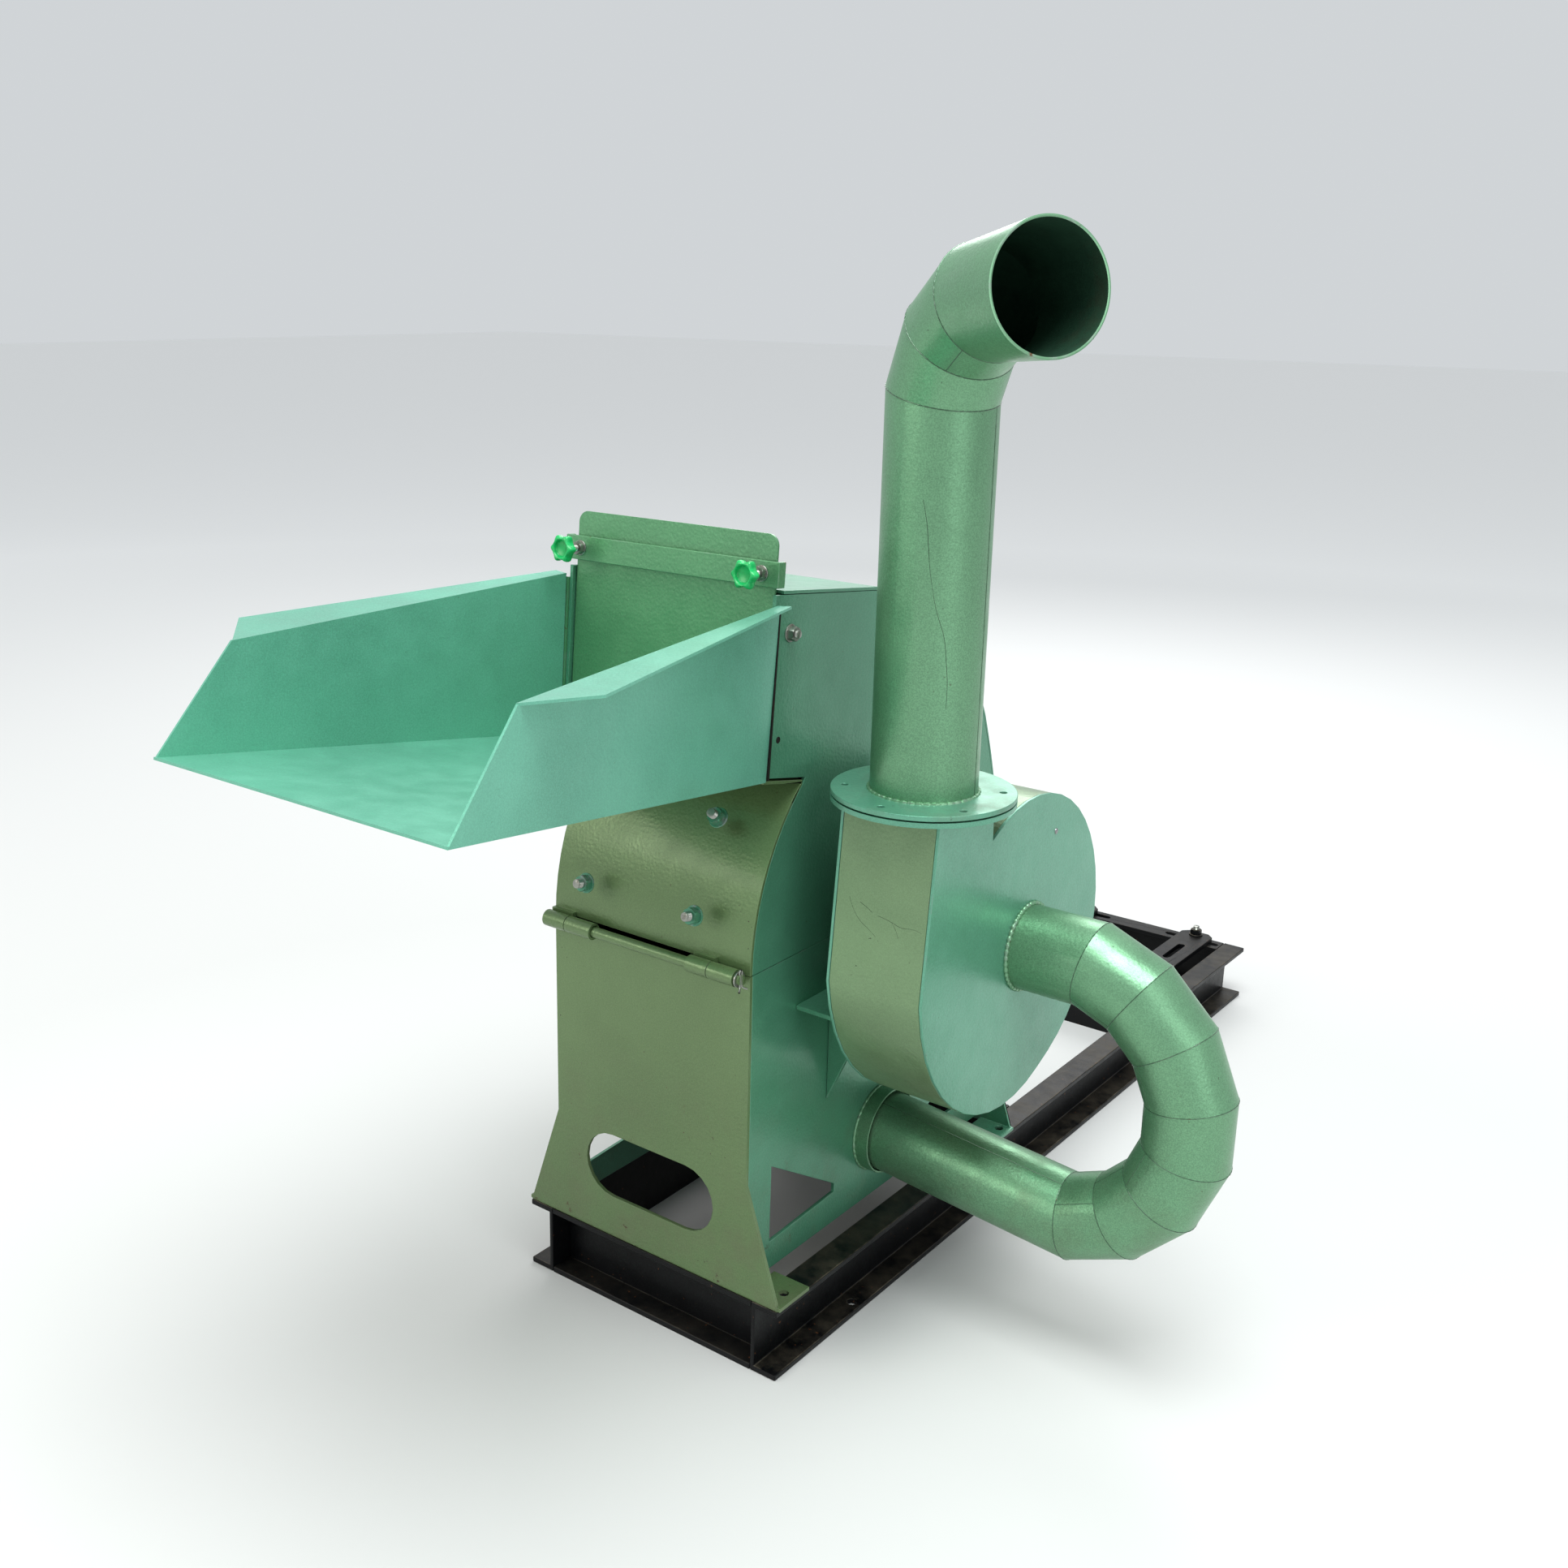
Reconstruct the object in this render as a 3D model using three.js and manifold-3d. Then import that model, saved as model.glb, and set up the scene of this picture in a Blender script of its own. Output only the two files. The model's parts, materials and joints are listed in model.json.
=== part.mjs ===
// Self-suction hammer mill on a steel channel base, with feed tray, slide gate, swinging-hammer
// rotor, centrifugal fan, looped suction pipe and swivelling discharge pipe.
// Millimetres, +Z up, +X towards the fan, +Y towards the motor end. The working coordinates start
// at the front edge of the base; the finished group is moved so that the origin is the middle of
// the front cross member's underside.
import * as THREE from 'three';
import { mergeVertices } from 'three/addons/utils/BufferGeometryUtils.js';
import Module from 'manifold-3d';

const wasm = await Module();
wasm.setup();

// ---------------------------------------------------------------- driving dimensions
const GAP = 0.3;                 // clearance between pieces that touch

const FRAME_LENGTH = 1553;
const FRAME_HALF = 213;          // to the tips of the rails' flanges
const CHANNEL_HEIGHT = 100;
const CHANNEL_WIDTH = 40;
const CHANNEL_WEB = 6;
const CHANNEL_FLANGE = 8;
const MID_MEMBER_Y = 640;
const MOTOR_MEMBER_Y = 1225;

const CASING_FRONT = 2;          // front face of the lower casing
const CASING_REAR = 612;
const CASING_HALF = 160;
const PLATE = 5;
const SPLIT_Z = 540;             // where cover and casing part
const FLARE_Z = 257;             // the end plates widen below this height
const SIDE_BOTTOM_Z = 114;
const FOOT_LENGTH = 64;

const AXIS_Y = 307;              // rotor axis
const AXIS_Z = 540;
const CASING_INNER = CASING_HALF - PLATE;

const SHAFT_R = 30;
const DISC_R = 150;
const PIN_ORBIT = 120;
const PIN_R = 10;
const HAMMER_REACH = 138;        // pin centre to hammer tip
const HAMMER_TAIL = 22;
const SCREEN_R = 272;

const COVER_SHEET = 4;
const COVER_FRONT_R = 307;
const THROAT_FOOT = { y: 19.4, z: 781 };
const THROAT_LEAN = Math.atan(0.081);
const GATE_HALF = 153.2;
const GATE_LENGTH = 284;
const GATE_SETBACK = 6;

const HINGE_Y = -12;
const HINGE_Z = 541;
const HINGE_ROD_R = 7;
const HINGE_BARREL_R = 11;

const FAN_INNER_X = 234;
const FAN_OUTER_X = 367;         // outer face of the fan's outer plate
const FAN_SHEET = 4;
const SCROLL_R = 197;
const SCROLL_GROWTH = 56;
const SCROLL_START = -70;        // degrees, where the scroll begins to open out
const DUCT_FRONT_Y = 75;
const DUCT_REAR_Y = 201;
const DUCT_TOP_Z = 757;

const PIPE_X = 299;              // discharge pipe axis
const PIPE_Y = 150;
const PIPE_R = 64;
const PIPE_WALL = 3;
const MOUTH_R = 70;              // the last leg widens to this
const FLANGE_R = 110;
const FLANGE_THICK = 6;
const ELBOW_AZIMUTH = THREE.MathUtils.degToRad(60);
const ELBOW_STEP = THREE.MathUtils.degToRad(27.5);
const ELBOW_JOINT_Z = 1228;
const ELBOW_LEGS = [70, 64, 117];

const SUCTION_R = 55.5;
const SUCTION_WALL = 3;
const LOOP_X = 424;              // centre of the suction loop
const LOOP_LOW_Z = 190;
const STUB_Z = 216;
const STUB_LENGTH = 22;
const STUB_INSET = 8;            // the pipe's end stands off the casing inside its collar

const SHELF_Z = 464;             // underside of the bearing shelves
const SHELF_THICK = 6;
const SHELF_FRONT_Y = 100;
const BEARING_WIDTH = 60;

// ---------------------------------------------------------------- materials
const steel = (color, roughness, metalness) =>
  new THREE.MeshStandardMaterial({ color, roughness, metalness });
const GREEN = steel(0x4f8f6c, 0.42, 0.35);
const BLACK = steel(0x15161a, 0.5, 0.2);
const BARE = steel(0x8c8f92, 0.35, 0.9);
const CAST = steel(0x4a4d50, 0.6, 0.6);
const PLASTIC = steel(0x25b35a, 0.45, 0.0);

// ---------------------------------------------------------------- geometry helpers
const polygon = (points) => new THREE.Shape(points.map(([a, b]) => new THREE.Vector2(a, b)));

function ringPoints(radius, sides, a = 0, b = 0, start = 0) {
  const points = [];
  for (let i = 0; i < sides; i += 1) {
    const angle = start + (2 * Math.PI * i) / sides;
    points.push([a + radius * Math.cos(angle), b + radius * Math.sin(angle)]);
  }
  return points;
}

const holePath = (points) => new THREE.Path(points.map(([a, b]) => new THREE.Vector2(a, b)));

function withHoles(shape, outlines) {
  shape.holes.push(...outlines.map(holePath));
  return shape;
}

function extrude(shape, depth, curveSegments = 16) {
  return new THREE.ExtrudeGeometry(shape, { depth, bevelEnabled: false, curveSegments });
}

// A plate whose outline is drawn in Y and Z, from x to x + thickness.
function plateYZ(shape, x, thickness, curveSegments) {
  const swap = new THREE.Matrix4().set(0, 0, 1, x, 1, 0, 0, 0, 0, 1, 0, 0, 0, 0, 0, 1);
  return extrude(shape, thickness, curveSegments).applyMatrix4(swap);
}

// A plate whose outline is drawn in X and Z, from y to y + thickness.
function plateXZ(shape, y, thickness, curveSegments) {
  return extrude(shape, thickness, curveSegments).rotateX(Math.PI / 2).translate(0, y + thickness, 0);
}

// A plate whose outline is drawn in X and Y, from z to z + thickness.
function plateXY(shape, z, thickness, curveSegments) {
  return extrude(shape, thickness, curveSegments).translate(0, 0, z);
}

function block(x0, x1, y0, y1, z0, z1) {
  const box = new THREE.BoxGeometry(x1 - x0, y1 - y0, z1 - z0);
  return box.translate((x0 + x1) / 2, (y0 + y1) / 2, (z0 + z1) / 2);
}

const rodX = (x0, x1, y, z, radius, sides) => plateYZ(polygon(ringPoints(radius, sides, y, z)), x0, x1 - x0);
const rodZ = (z0, z1, x, y, radius, sides) => plateXY(polygon(ringPoints(radius, sides, x, y)), z0, z1 - z0);

function solid(geometry) {
  const bare = geometry.clone();
  bare.deleteAttribute('normal');
  bare.deleteAttribute('uv');
  const merged = mergeVertices(bare, 1e-4);
  return new wasm.Manifold(new wasm.Mesh({
    numProp: 3,
    vertProperties: new Float32Array(merged.attributes.position.array),
    triVerts: new Uint32Array(merged.index.array),
  }));
}

function surface(manifold) {
  const mesh = manifold.getMesh();
  const geometry = new THREE.BufferGeometry();
  geometry.setAttribute('position', new THREE.BufferAttribute(new Float32Array(mesh.vertProperties), 3));
  geometry.setIndex(new THREE.BufferAttribute(new Uint32Array(mesh.triVerts), 1));
  return geometry;
}

const join = (...parts) => surface(parts.map(solid).reduce((sum, part) => sum.add(part)));

function cut(body, ...tools) {
  return surface(tools.map(solid).reduce((rest, tool) => rest.subtract(tool), solid(body)));
}

function piece(name, geometry, material) {
  const mesh = new THREE.Mesh(geometry, material);
  mesh.name = name;
  return mesh;
}

const mirrorX = (geometry) => {
  const mirrored = geometry.clone().applyMatrix4(new THREE.Matrix4().makeScale(-1, 1, 1));
  const index = mirrored.index ? mirrored.index.array : null;
  const order = index ? Array.from(index) : [...Array(mirrored.attributes.position.count).keys()];
  for (let i = 0; i < order.length; i += 3) {
    [order[i], order[i + 1]] = [order[i + 1], order[i]];
  }
  mirrored.setIndex(order);
  return mirrored;
};

// A slot outline with round ends, its length along the first coordinate.
function slotPoints(a0, a1, b, radius, sides = 6) {
  const points = [];
  for (let i = 0; i <= sides; i += 1) {
    const angle = -Math.PI / 2 + (Math.PI * i) / sides;
    points.push([a1 - radius + radius * Math.cos(angle), b + radius * Math.sin(angle)]);
  }
  for (let i = 0; i <= sides; i += 1) {
    const angle = Math.PI / 2 + (Math.PI * i) / sides;
    points.push([a0 + radius + radius * Math.cos(angle), b + radius * Math.sin(angle)]);
  }
  return points;
}

// A round tube with mitred joints along a path that lies in one plane; side is the plane's normal,
// and swell widens the tube at its last ring.
function mitredTube(path, side, outer, inner, sides, swell = 1) {
  const spans = path.length - 1;
  const section = withHoles(polygon(ringPoints(outer, sides)), [ringPoints(inner, sides)]);
  const tube = new THREE.ExtrudeGeometry(section, { depth: spans, steps: spans, bevelEnabled: false });
  const legs = path.slice(1).map((point, i) => point.clone().sub(path[i]).normalize());
  const place = tube.attributes.position;
  for (let i = 0; i < place.count; i += 1) {
    const ring = Math.round(place.getZ(i));
    const before = legs[Math.max(ring - 1, 0)];
    const after = legs[Math.min(ring, spans - 1)];
    const along = before.clone().add(after).normalize();
    const stretch = 1 / Math.cos(before.angleTo(after) / 2);
    const across = along.clone().cross(side).multiplyScalar(stretch);
    const size = ring === spans ? swell : 1;
    const point = path[ring].clone()
      .addScaledVector(side, size * place.getX(i))
      .addScaledVector(across, size * place.getY(i));
    place.setXYZ(i, point.x, point.y, point.z);
  }
  return tube;
}

// ---------------------------------------------------------------- base frame
const channelSection = (tip, web) => polygon([
  [tip, 0], [web, 0], [web, CHANNEL_HEIGHT], [tip, CHANNEL_HEIGHT],
  [tip, CHANNEL_HEIGHT - CHANNEL_FLANGE],
  [web + Math.sign(tip - web) * CHANNEL_WEB, CHANNEL_HEIGHT - CHANNEL_FLANGE],
  [web + Math.sign(tip - web) * CHANNEL_WEB, CHANNEL_FLANGE],
  [tip, CHANNEL_FLANGE],
]);

function railGeometry() {
  const rail = plateXZ(channelSection(FRAME_HALF, FRAME_HALF - CHANNEL_WIDTH), 0, FRAME_LENGTH);
  const bolts = [35, 595].map((y) => rodZ(CHANNEL_HEIGHT - 15, CHANNEL_HEIGHT + 5, 199, y, 7, 8));
  const anchors = [198, 1400].map((y) => rodZ(-5, 15, 199, y, 7, 8));
  return cut(rail, ...bolts, ...anchors);
}

// A cross member between the rails' webs. Its flanges run from the web at webY to tipY.
function crossMember(webY, tipY) {
  const half = FRAME_HALF - CHANNEL_WIDTH - GAP;
  return plateYZ(channelSection(tipY, webY), -half, 2 * half);
}

function motorMember(webY, tipY) {
  const slotY = (webY + tipY) / 2;
  const slots = [-1, 1].map((sign) => plateXY(
    polygon(slotPoints(Math.min(sign * 60, sign * 168), Math.max(sign * 60, sign * 168), slotY, 6.5, 4)),
    CHANNEL_HEIGHT - 15, 20,
  ));
  return cut(crossMember(webY, tipY), ...slots);
}

// Flat bar that carries the motor's feet; its own slots run along the belt direction.
function motorBar(sign) {
  const [x0, x1] = [90, 153].map((x) => sign * x).sort((a, b) => a - b);
  const front = MOTOR_MEMBER_Y;
  const rear = FRAME_LENGTH - 2;
  const clip = 12;
  const outline = polygon([
    [x0 + clip, front], [x1 - clip, front], [x1, front + clip], [x1, rear - clip],
    [x1 - clip, rear], [x0 + clip, rear], [x0, rear - clip], [x0, front + clip],
  ]);
  const middle = (x0 + x1) / 2;
  const slot = (y0, y1) => slotPoints(y0, y1, middle, 7, 4).map(([a, b]) => [b, a]).reverse();
  const holes = [slot(1275, 1345), slot(1385, 1470)];
  const bores = [front + 20, FRAME_LENGTH - 20].map((y) => ringPoints(7, 8, middle, y));
  return plateXY(withHoles(outline, [...holes, ...bores]), CHANNEL_HEIGHT + GAP, 10);
}

function baseFrame() {
  const group = new THREE.Group();
  const rail = railGeometry();
  group.add(
    piece('frame_rail_right', rail, BLACK),
    piece('frame_rail_left', mirrorX(rail), BLACK),
    piece('frame_cross_front', crossMember(CHANNEL_WIDTH, 0), BLACK),
    piece('frame_cross_middle', crossMember(MID_MEMBER_Y, MID_MEMBER_Y + CHANNEL_WIDTH), BLACK),
    piece('frame_cross_motor', motorMember(MOTOR_MEMBER_Y, MOTOR_MEMBER_Y + CHANNEL_WIDTH), BLACK),
    piece('frame_cross_rear', motorMember(FRAME_LENGTH, FRAME_LENGTH - CHANNEL_WIDTH), BLACK),
    piece('motor_bar_right', motorBar(1), BLACK),
    piece('motor_bar_left', motorBar(-1), BLACK),
  );
  return group;
}

// ---------------------------------------------------------------- lower casing
const endPlateOutline = () => polygon([
  [-FRAME_HALF, CHANNEL_HEIGHT + GAP], [FRAME_HALF, CHANNEL_HEIGHT + GAP], [CASING_HALF, FLARE_Z],
  [CASING_HALF, SPLIT_Z], [-CASING_HALF, SPLIT_Z], [-CASING_HALF, FLARE_Z],
]);

// Foot tabs stand beside the plate's flare, welded to its face from y to y + FOOT_LENGTH.
function footTabs(y) {
  const tab = (sign) => {
    const [x0, x1] = [160.5, FRAME_HALF + 3].map((x) => sign * x).sort((a, b) => a - b);
    const outline = polygon([[x0, y], [x1, y], [x1, y + FOOT_LENGTH], [x0, y + FOOT_LENGTH]]);
    const hole = ringPoints(7, 8, sign * 199, y < AXIS_Y ? 35 : 595);
    return plateXY(withHoles(outline, [hole]), CHANNEL_HEIGHT + GAP, 5);
  };
  return [tab(1), tab(-1)];
}

function hingeBarrel(x0, x1, bracketLow, bracketHigh) {
  const ring = withHoles(
    polygon(ringPoints(HINGE_BARREL_R, 16, HINGE_Y, HINGE_Z)),
    [ringPoints(HINGE_ROD_R + 0.8, 16, HINGE_Y, HINGE_Z)],
  );
  const bracket = block(x0, x1, HINGE_Y + HINGE_ROD_R + 1.5, CASING_FRONT + 1, bracketLow, bracketHigh);
  return [plateYZ(ring, x0, x1 - x0), bracket];
}

const CASING_BARRELS = [[-123, -80], [111, 150]];
const COVER_BARRELS = [[-161, -124], [77, 110]];

function casingFrontPlate() {
  const slot = slotPoints(-108, 108, 206, 46, 10);
  const plate = plateXZ(withHoles(endPlateOutline(), [slot]), CASING_FRONT, PLATE);
  const barrels = CASING_BARRELS.flatMap(([x0, x1]) => hingeBarrel(x0, x1, SPLIT_Z - 12, SPLIT_Z));
  return join(plate, ...footTabs(CASING_FRONT + 1), ...barrels);
}

function casingRearPlate() {
  const plate = plateXZ(endPlateOutline(), CASING_REAR - PLATE, PLATE);
  return join(plate, ...footTabs(CASING_REAR - FOOT_LENGTH - 1));
}

// The shaft lies on the split line, so each half of the casing has half of its opening.
const SHAFT_CLEAR_R = 44;
const shaftOpening = (x) => rodX(x - 10, x + 10, AXIS_Y, AXIS_Z, SHAFT_CLEAR_R, 20);

function casingSide(sign) {
  const front = CASING_FRONT + PLATE + GAP;
  const rear = CASING_REAR - PLATE - GAP;
  const window = [[front + 48, 154], [front + 49, 262], [front + 195, 172], [front + 195, 160]];
  const rearWindow = window.map(([y, z]) => [front + rear - y, z]).reverse();
  const outline = polygon([[front, SIDE_BOTTOM_Z], [rear, SIDE_BOTTOM_Z], [rear, SPLIT_Z], [front, SPLIT_Z]]);
  const x = sign > 0 ? CASING_INNER : -CASING_HALF;
  const plate = plateYZ(withHoles(outline, [window.reverse(), rearWindow]), x, PLATE);
  const tools = [shaftOpening(x)];
  if (sign > 0) {
    tools.push(rodX(x - 5, x + 10, AXIS_Y, STUB_Z, SUCTION_R - SUCTION_WALL, 24));
  }
  return cut(plate, ...tools);
}

// Folded sheet under the screen that gathers the meal at the suction stub.
function collectingHopper() {
  const front = CASING_FRONT + PLATE + GAP;
  const rear = CASING_REAR - PLATE - GAP;
  const sheet = 3;
  const [high, low, half] = [302, 156, 66];
  const outline = polygon([
    [front, high], [AXIS_Y - half, low], [AXIS_Y + half, low], [rear, high],
    [rear, high + sheet + 1], [AXIS_Y + half, low + sheet], [AXIS_Y - half, low + sheet],
    [front, high + sheet + 1],
  ]);
  return plateYZ(outline, -CASING_INNER + GAP, 2 * (CASING_INNER - GAP));
}

// Half drum below the rotor, pierced by rows of long slots.
function screenSheet() {
  const thick = 3;
  const shape = new THREE.Shape();
  shape.absarc(AXIS_Y, AXIS_Z, SCREEN_R + thick, Math.PI + 0.02, 2 * Math.PI - 0.02, false);
  shape.absarc(AXIS_Y, AXIS_Z, SCREEN_R, 2 * Math.PI - 0.02, Math.PI + 0.02, true);
  const half = CASING_INNER - 4;
  const drum = plateYZ(shape, -half, 2 * half, 15);
  const rows = 13;
  const slots = [];
  for (let row = 0; row < rows; row += 1) {
    const angle = Math.PI + (Math.PI * (row + 1)) / (rows + 1);
    for (const x of [-96, 0, 96]) {
      const slot = block(x - 38, x + 38, SCREEN_R - 12, SCREEN_R + 15, -5, 5);
      slot.rotateX(angle).translate(0, AXIS_Y, AXIS_Z);
      slots.push(slot);
    }
  }
  return cut(drum, ...slots);
}

function bearingBracket() {
  const x0 = CASING_HALF + GAP;
  const x1 = FAN_INNER_X - GAP;
  const y1 = 2 * AXIS_Y - SHELF_FRONT_Y;
  const bolts = [-92, 92].map((y) => ringPoints(8, 8, (x0 + x1) / 2, AXIS_Y + y));
  const outline = polygon([[x0, SHELF_FRONT_Y], [x1, SHELF_FRONT_Y], [x1, y1], [x0, y1]]);
  const shelf = plateXY(withHoles(outline, bolts), SHELF_Z, SHELF_THICK);
  const gusset = (y) => plateXZ(
    polygon([[x0, 310], [x1 - 4, SHELF_Z + 1], [x0, SHELF_Z + 1]]), y, SHELF_THICK,
  );
  return join(shelf, gusset(175), gusset(2 * AXIS_Y - 175 - SHELF_THICK));
}

// Pillow block with a foot at each end and a round body about the shaft.
function bearingHousing() {
  const base = SHELF_Z + SHELF_THICK + GAP;
  const x0 = (CASING_HALF + FAN_INNER_X - BEARING_WIDTH) / 2;
  const foot = base + 20;
  const shape = new THREE.Shape();
  shape.moveTo(AXIS_Y - 120, base);
  shape.lineTo(AXIS_Y + 120, base);
  shape.lineTo(AXIS_Y + 120, foot);
  shape.lineTo(AXIS_Y + 68, foot + 4);
  shape.absarc(AXIS_Y, AXIS_Z, 62, -0.45, Math.PI + 0.45, false);
  shape.lineTo(AXIS_Y - 68, foot + 4);
  shape.lineTo(AXIS_Y - 120, foot);
  shape.holes.push(holePath(ringPoints(SHAFT_R + 1, 20, AXIS_Y, AXIS_Z)));
  const body = plateYZ(shape, x0, BEARING_WIDTH, 14);
  const bolts = [-92, 92].map((y) => rodZ(base - 2, foot + 6, x0 + BEARING_WIDTH / 2, AXIS_Y + y, 8, 8));
  return cut(body, ...bolts);
}

function suctionStub() {
  const ring = withHoles(
    polygon(ringPoints(SUCTION_R + 5.5, 24, AXIS_Y, STUB_Z)),
    [ringPoints(SUCTION_R + 2.4, 24, AXIS_Y, STUB_Z)],
  );
  return plateYZ(ring, CASING_HALF + GAP, STUB_LENGTH);
}

function lowerCasing() {
  const group = new THREE.Group();
  const bracket = bearingBracket();
  const housing = bearingHousing();
  group.add(
    piece('casing_front_plate', casingFrontPlate(), GREEN),
    piece('casing_rear_plate', casingRearPlate(), GREEN),
    piece('casing_side_right', casingSide(1), GREEN),
    piece('casing_side_left', casingSide(-1), GREEN),
    piece('collecting_hopper', collectingHopper(), GREEN),
    piece('screen', screenSheet(), BARE),
    piece('bearing_bracket_right', bracket, GREEN),
    piece('bearing_bracket_left', mirrorX(bracket), GREEN),
    piece('bearing_housing_right', housing, CAST),
    piece('bearing_housing_left', mirrorX(housing), CAST),
    piece('suction_stub', suctionStub(), GREEN),
    piece('hinge_rod', rodX(-163, 157, HINGE_Y, HINGE_Z, HINGE_ROD_R, 16), GREEN),
  );
  return group;
}

// ---------------------------------------------------------------- rotor
const PIN_ANGLES = [45, 135, 225, 315].map(THREE.MathUtils.degToRad);
const DISC_XS = [-135, -47, 41, 129];
const DISC_THICK = 6;

function rotorDisc(x) {
  const bores = PIN_ANGLES.map((angle) => ringPoints(
    PIN_R + 0.6, 12, AXIS_Y + PIN_ORBIT * Math.cos(angle), AXIS_Z + PIN_ORBIT * Math.sin(angle),
  ));
  const outline = polygon(ringPoints(DISC_R, 32, AXIS_Y, AXIS_Z));
  const eye = ringPoints(SHAFT_R + 0.5, 24, AXIS_Y, AXIS_Z);
  return plateYZ(withHoles(outline, [eye, ...bores]), x, DISC_THICK);
}

// Flat bar hanging from its pin, on whichever pin it is placed.
function hammer(x, angle) {
  const y = AXIS_Y + PIN_ORBIT * Math.cos(angle);
  const z = AXIS_Z + PIN_ORBIT * Math.sin(angle);
  const half = 22;
  const outline = polygon([
    [y - half, z - HAMMER_REACH], [y + half, z - HAMMER_REACH],
    [y + half, z + HAMMER_TAIL], [y - half, z + HAMMER_TAIL],
  ]);
  return plateYZ(withHoles(outline, [ringPoints(PIN_R + 0.8, 12, y, z)]), x, 6);
}

// Back-plate impeller: hub, disc and six straight blades.
function impeller() {
  const hub = plateYZ(withHoles(
    polygon(ringPoints(48, 24, AXIS_Y, AXIS_Z)), [ringPoints(SHAFT_R + 0.5, 24, AXIS_Y, AXIS_Z)],
  ), FAN_INNER_X + 14, 52);
  const disc = plateYZ(withHoles(
    polygon(ringPoints(165, 36, AXIS_Y, AXIS_Z)), [ringPoints(40, 24, AXIS_Y, AXIS_Z)],
  ), FAN_INNER_X + 14, 4);
  const blades = [];
  for (let i = 0; i < 6; i += 1) {
    const blade = block(FAN_INNER_X + 15, FAN_OUTER_X - 24, 44, 176, -2.5, 2.5);
    blade.rotateX((Math.PI * i) / 3).translate(0, AXIS_Y, AXIS_Z);
    blades.push(blade);
  }
  return join(disc, hub, ...blades);
}

// Three-groove V-belt pulley on the end away from the fan.
function pulley() {
  const [x0, groove, rib, rim, root] = [-342, 16, 8, 78, 62];
  const points = [[0, rim]];
  for (let i = 0; i < 3; i += 1) {
    const start = rib + i * (groove + rib);
    points.push([start, rim], [start + 4, root], [start + groove - 4, root], [start + groove, rim]);
  }
  const width = rib + 3 * (groove + rib);
  points.push([width, rim]);
  const bore = SHAFT_R + 0.5;
  const profile = [[0, bore], ...points, [width, bore], [0, bore]];
  const lathe = new THREE.LatheGeometry(profile.map(([x, r]) => new THREE.Vector2(r, x)), 28);
  const bare = mergeVertices(lathe.deleteAttribute('normal').deleteAttribute('uv'), 1e-3);
  bare.rotateZ(-Math.PI / 2).translate(x0, AXIS_Y, AXIS_Z);
  return bare;
}

function rotor() {
  const group = new THREE.Group();
  group.add(piece('rotor_shaft', rodX(-350, 316, AXIS_Y, AXIS_Z, SHAFT_R, 24), BARE));
  DISC_XS.forEach((x, i) => group.add(piece(`rotor_disc_${i + 1}`, rotorDisc(x), BARE)));
  PIN_ANGLES.forEach((angle, row) => {
    const y = AXIS_Y + PIN_ORBIT * Math.cos(angle);
    const z = AXIS_Z + PIN_ORBIT * Math.sin(angle);
    group.add(piece(`hammer_pin_${row + 1}`, rodX(-140, 140, y, z, PIN_R, 12), BARE));
    DISC_XS.slice(0, 3).forEach((x, i) => {
      const offset = DISC_THICK + 16 + 14 * row;
      group.add(piece(`hammer_${row + 1}_${i + 1}`, hammer(x + offset, angle), BARE));
    });
  });
  group.add(piece('fan_impeller', impeller(), BARE));
  group.add(piece('drive_pulley', pulley(), CAST));
  return group;
}

// ---------------------------------------------------------------- fan housing and pipes
// Scroll radius: even over the top and rear, opening out from the bottom to the front wall.
function scrollPoint(degrees, inset) {
  const turned = Math.max(0, SCROLL_START - degrees);
  const radius = SCROLL_R + (SCROLL_GROWTH * turned) / (180 + SCROLL_START) - inset;
  const angle = THREE.MathUtils.degToRad(degrees);
  return [AXIS_Y + radius * Math.cos(angle), AXIS_Z + radius * Math.sin(angle)];
}

// Runs from the tongue of the scroll, over the top, round to the front wall.
function scrollArc(inset) {
  const points = [];
  const [start, end, steps] = [122, -180, 34];
  for (let i = 0; i <= steps; i += 1) {
    points.push(scrollPoint(start + ((end - start) * i) / steps, inset));
  }
  return points;
}

function scrollOutline() {
  const arc = scrollArc(0);
  return [...arc, [DUCT_FRONT_Y, DUCT_TOP_Z], [DUCT_REAR_Y, DUCT_TOP_Z]];
}

function fanPlate(x, holeRadius) {
  const outline = polygon(scrollOutline());
  return plateYZ(withHoles(outline, [ringPoints(holeRadius, 24, AXIS_Y, AXIS_Z)]), x, FAN_SHEET);
}

// The rolled band between the two fan plates, open at the duct's top.
function fanScroll() {
  const outer = scrollArc(0.5);
  const inner = scrollArc(0.5 + FAN_SHEET);
  const outline = polygon([
    [DUCT_REAR_Y - 0.5, DUCT_TOP_Z], ...outer, [DUCT_FRONT_Y + 0.5, DUCT_TOP_Z],
    [DUCT_FRONT_Y + 0.5 + FAN_SHEET, DUCT_TOP_Z], ...inner.reverse(),
    [DUCT_REAR_Y - 0.5 - FAN_SHEET, inner[inner.length - 1][1]],
    [DUCT_REAR_Y - 0.5 - FAN_SHEET, DUCT_TOP_Z],
  ]);
  const x = FAN_INNER_X + FAN_SHEET + GAP;
  return plateYZ(outline, x, FAN_OUTER_X - FAN_SHEET - GAP - x);
}

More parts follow.
